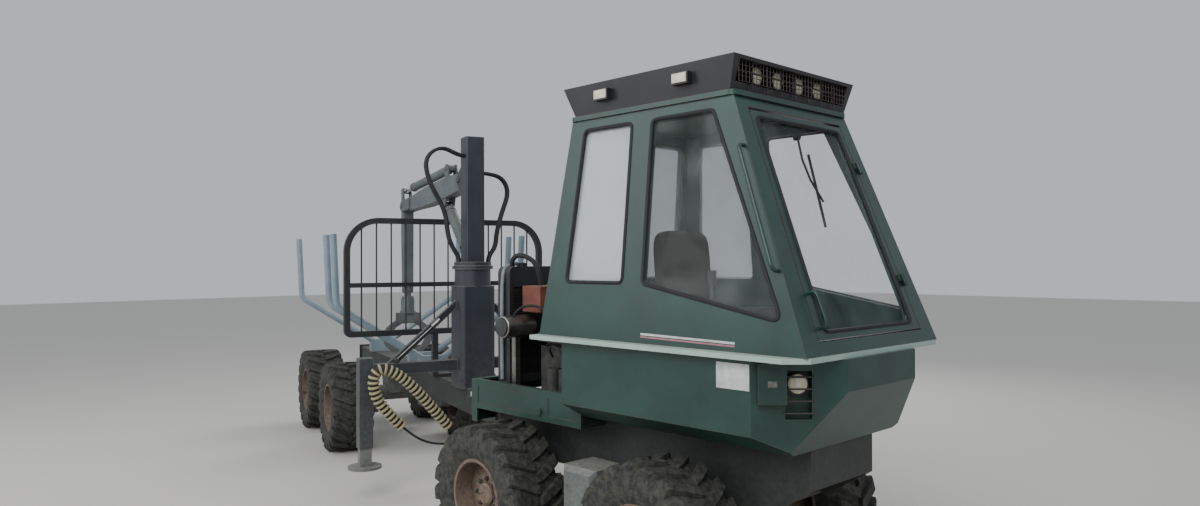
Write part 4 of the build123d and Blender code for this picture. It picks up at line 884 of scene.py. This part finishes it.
ringTree, ringSockets = buildRingTree()
guardLine = hoseCurve(guardLook["route"], 0.0, 4)
guardSpots, guardLength = sampleCurve(guardLine.data)
rings = runNodes(guardLine.data, ringTree, ringSockets, {
    "Count": guardLook["rings"], "Ring Radius": guardLook["ringR"], "Bead Radius": guardLook["beadR"],
    "Finish": finishes["yellowPlastic"]})
guardRings = keepMesh("hose_guard_rings", rings, rearPlace, "rear_unit", finishes["yellowPlastic"])
core = bmesh.new()
addHose(core, guardLook["route"], guardLook["tubeR"], 6)
guardCore = makePiece("hose_guard_core", core, rearPlace, "rear_unit", finishes["blackRubber"])
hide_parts("hose_guard")
# the leg's own hose comes out of both ends of the guard and goes up into the beam
for number, (route, length) in enumerate(zip(guardLook["inner"], guardLook["innerLengths"])):
    freeHose(f"leg_hose_{number + 1}", [rearPlace @ Vector(point) for point in route], guardLook["innerR"], 4,
             "rear_unit")
print("hose guard made, its line is", round(guardLength, 3), "m")


# A thin bright rod with its fork, pinned to the front of the right leg's brace
rodLook = {
    "low": Vector((-0.908, -0.660, 1.116)),
    "high": Vector((-0.908, -0.300, 1.426)),
    "rodR": 0.007,
    "forkR": 0.022,
    "forkLength": 0.085,
    "pinFromEnd": 0.020,
    "pinSpan": (-0.030, 0.040),
    "pinR": 0.009,
    "eyeHalf": 0.022,
    "eyeR": 0.014,
}
rod = bmesh.new()
rodRun = (rodLook["high"] - rodLook["low"]).normalized()
addRound(rod, rodLook["low"], rodLook["high"], rodLook["rodR"], sides=12)
addRound(rod, rodLook["high"] - rodRun * rodLook["forkLength"], rodLook["high"], rodLook["forkR"], sides=16)
pinAt = rodLook["high"] - rodRun * rodLook["pinFromEnd"]
pinBack, pinFront = rodLook["pinSpan"]
addRound(rod, pinAt + Vector((pinBack, 0, 0)), pinAt + Vector((pinFront, 0, 0)), rodLook["pinR"], sides=12)
eyeHalf = Vector((rodLook["eyeHalf"], 0, 0))
addRound(rod, rodLook["low"] - eyeHalf, rodLook["low"] + eyeHalf, rodLook["eyeR"], sides=16)
makePiece("brace_rod", rod, rearPlace, "rear_unit", finishes["bareSteel"])
print("brace rod made")


# The seat: a foam cushion and back with crowned faces and sewn welts, on a steel pedestal
seatLook = {
    "cushion": ((1.605, -0.238, 1.425), (2.078, 0.238, 1.532)),
    "backLow": Vector((1.655, 0, 1.555)),
    "backHigh": Vector((1.612, 0, 2.085)),
    "backHalf": (0.050, 0.225),
    "crown": 0.016,
    "underside": -0.15,
    "pinch": 0.018,
    "roundness": 6,
    "cuts": 9,
    "weltCorner": 0.075,
    "weltIn": 0.006,
    "weltDown": 0.030,
    "weltR": 0.0035,
    "pedestal": ((1.655, -0.140, 1.012), (1.945, 0.140, 1.425)),
}


def addCushion(bm, low, high, crown, turn=None):
    # a closed pad: a rounded block whose faces swell and whose sides draw in between the corners
    made = bmesh.ops.create_cube(bm, size=2.0)["verts"]
    edges = list({e for v in made for e in v.link_edges})
    bmesh.ops.subdivide_edges(bm, edges=edges, cuts=seatLook["cuts"], use_grid_fill=True)
    half = (Vector(high) - Vector(low)) / 2
    middle = (Vector(high) + Vector(low)) / 2
    power = seatLook["roundness"]
    for vert in bm.verts:
        u, v, w = vert.co
        size = (abs(u) ** power + abs(v) ** power + abs(w) ** power) ** (1 / power)
        spot = Vector((u / size * half.x, v / size * half.y, w / size * half.z))
        spot.z += (1 if w > 0 else seatLook["underside"]) * crown * (1 - u * u) * (1 - v * v) * abs(w)
        pinch = 1 - seatLook["pinch"] * (1 - abs(w)) * (1 - min(abs(u), abs(v)) ** 2)
        spot.x *= pinch
        spot.y *= pinch
        vert.co = spot
    if turn:
        bmesh.ops.rotate(bm, verts=bm.verts, cent=(0, 0, 0), matrix=turn)
    bmesh.ops.translate(bm, vec=middle, verts=bm.verts)


cushion = bmesh.new()
addCushion(cushion, *seatLook["cushion"], seatLook["crown"])
seatCushion = makePiece("seat_cushion", cushion, frontPlace, "front_unit", finishes["seatCloth"], 60)
backLine = seatLook["backHigh"] - seatLook["backLow"]
backTurn = Matrix.Rotation(-atan2(-backLine.x, backLine.z), 3, "Y")
backMiddle = (seatLook["backHigh"] + seatLook["backLow"]) / 2
backHalf = Vector((*seatLook["backHalf"], backLine.length / 2))
backPad = bmesh.new()
addCushion(backPad, backMiddle - backHalf, backMiddle + backHalf, 0.0, backTurn)
seatBack = makePiece("seat_back", backPad, frontPlace, "front_unit", finishes["seatCloth"], 60)
welt = bmesh.new()
(lowX, lowY, lowZ), (highX, highY, highZ) = seatLook["cushion"]
weltIn = seatLook["weltIn"]
weltLoop = roundedLoop(((lowX + weltIn, lowY + weltIn), (highX - weltIn, lowY + weltIn),
                        (highX - weltIn, highY - weltIn), (lowX + weltIn, highY - weltIn)),
                       seatLook["weltCorner"])
addSeal(welt, [(x, y, highZ - seatLook["weltDown"]) for x, y in weltLoop], seatLook["weltR"])
makePiece("seat_welt", welt, frontPlace, "front_unit", finishes["seatSide"])
pedestal = bmesh.new()
addBlock(pedestal, *seatLook["pedestal"], edge=0.008)
makePiece("seat_pedestal", pedestal, frontPlace, "front_unit", finishes["blackPaint"])
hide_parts("seat")

# Lever bellows: six folds that narrow upwards, one on each console
bellowsLook = {
    "at": (2.160, 0.390, 1.612),
    "folds": 6,
    "pitch": 0.014,
    "taper": 0.0042,
    # each a height and a radius, the ridge and groove for the lowest fold
    "foot": (0.0, 0.053),
    "ridge": (0.008, 0.052),
    "groove": (0.015, 0.043),
    "top": (0.100, 0.014),
}
bellows = bmesh.new()
profile = [bellowsLook["foot"]]
for k in range(bellowsLook["folds"]):
    for height, radius in (bellowsLook["ridge"], bellowsLook["groove"]):
        profile.append((height + bellowsLook["pitch"] * k, radius - bellowsLook["taper"] * k))
profile.append(bellowsLook["top"])
bellowsX, bellowsY, bellowsZ = bellowsLook["at"]
for way in (-1, 1):
    addTurned(bellows, (bellowsX, way * bellowsY, bellowsZ), (0, 0, 1), profile, sides=28)
makePiece("lever_bellows", bellows, frontPlace, "front_unit", finishes["blackRubber"])
print("seat and levers made")


# Stage: camera, floor and light
camera = {
    "at": layout["pivot"] + Vector((4.961, -3.919, 1.91)),
    "yaw": radians(44.02),
    "pitch": radians(0.5),
    "roll": radians(-0.2),
    "lens": 25.32,
    "sensor": 36,
}
lens = bpy.data.cameras.new("camera")
lens.lens = camera["lens"]
lens.sensor_width = camera["sensor"]
lens.sensor_fit = "HORIZONTAL"
cameraObject = bpy.data.objects.new("camera", lens)
bpy.context.scene.collection.objects.link(cameraObject)
yaw, pitch = camera["yaw"], camera["pitch"]
sight = Vector((-cos(yaw) * cos(pitch), sin(yaw) * cos(pitch), sin(pitch)))
aim = sight.to_track_quat("-Z", "Y").to_matrix().to_4x4()
cameraObject.matrix_world = Matrix.Translation(camera["at"]) @ aim @ Matrix.Rotation(camera["roll"], 4, "Z")
bpy.context.scene.camera = cameraObject

stageLook = {
    "floorColour": "c9c6c0",
    "floorHalf": 40,
    "skyColour": "dfe4ea",
    "skyStrength": 0.75,
}
floorMaterial = newMaterial("pale studio floor", {"Roughness": 0.9,
                                                  "Base Color": linearColour(stageLook["floorColour"])})[0]
floorMesh = bpy.data.meshes.new("floor")
reach = stageLook["floorHalf"]
floorMesh.from_pydata([(-reach, -reach, 0), (reach, -reach, 0), (reach, reach, 0), (-reach, reach, 0)], [],
                      [(0, 1, 2, 3)])
floorMesh.materials.append(floorMaterial)
floor = bpy.data.objects.new("floor", floorMesh)
bpy.context.scene.collection.objects.link(floor)

lights = {
    # name: place, what it looks at, size and watts
    "key": ((5.5, -7.5, 7.0), (0.5, 0, 1.2), 5.0, 620),
    "side": ((-3.0, -8.0, 5.0), (-0.5, 0, 1.0), 5.0, 260),
    "back": ((-2.0, 7.0, 6.0), (0.5, 0, 1.5), 4.0, 260),
}
for lightName, (spot, target, size, watts) in lights.items():
    lamp = bpy.data.lights.new(lightName, "AREA")
    lamp.size = size
    lamp.energy = watts
    lampObject = bpy.data.objects.new(lightName, lamp)
    bpy.context.scene.collection.objects.link(lampObject)
    aim = (Vector(target) - Vector(spot)).to_track_quat("-Z", "Y").to_matrix().to_4x4()
    lampObject.matrix_world = Matrix.Translation(spot) @ aim
world = bpy.data.worlds.new("soft sky")
world.use_nodes = True
sky = world.node_tree.nodes["Background"]
sky.inputs["Color"].default_value = linearColour(stageLook["skyColour"])
sky.inputs["Strength"].default_value = stageLook["skyStrength"]
bpy.context.scene.world = world
print("camera, floor and lights set")
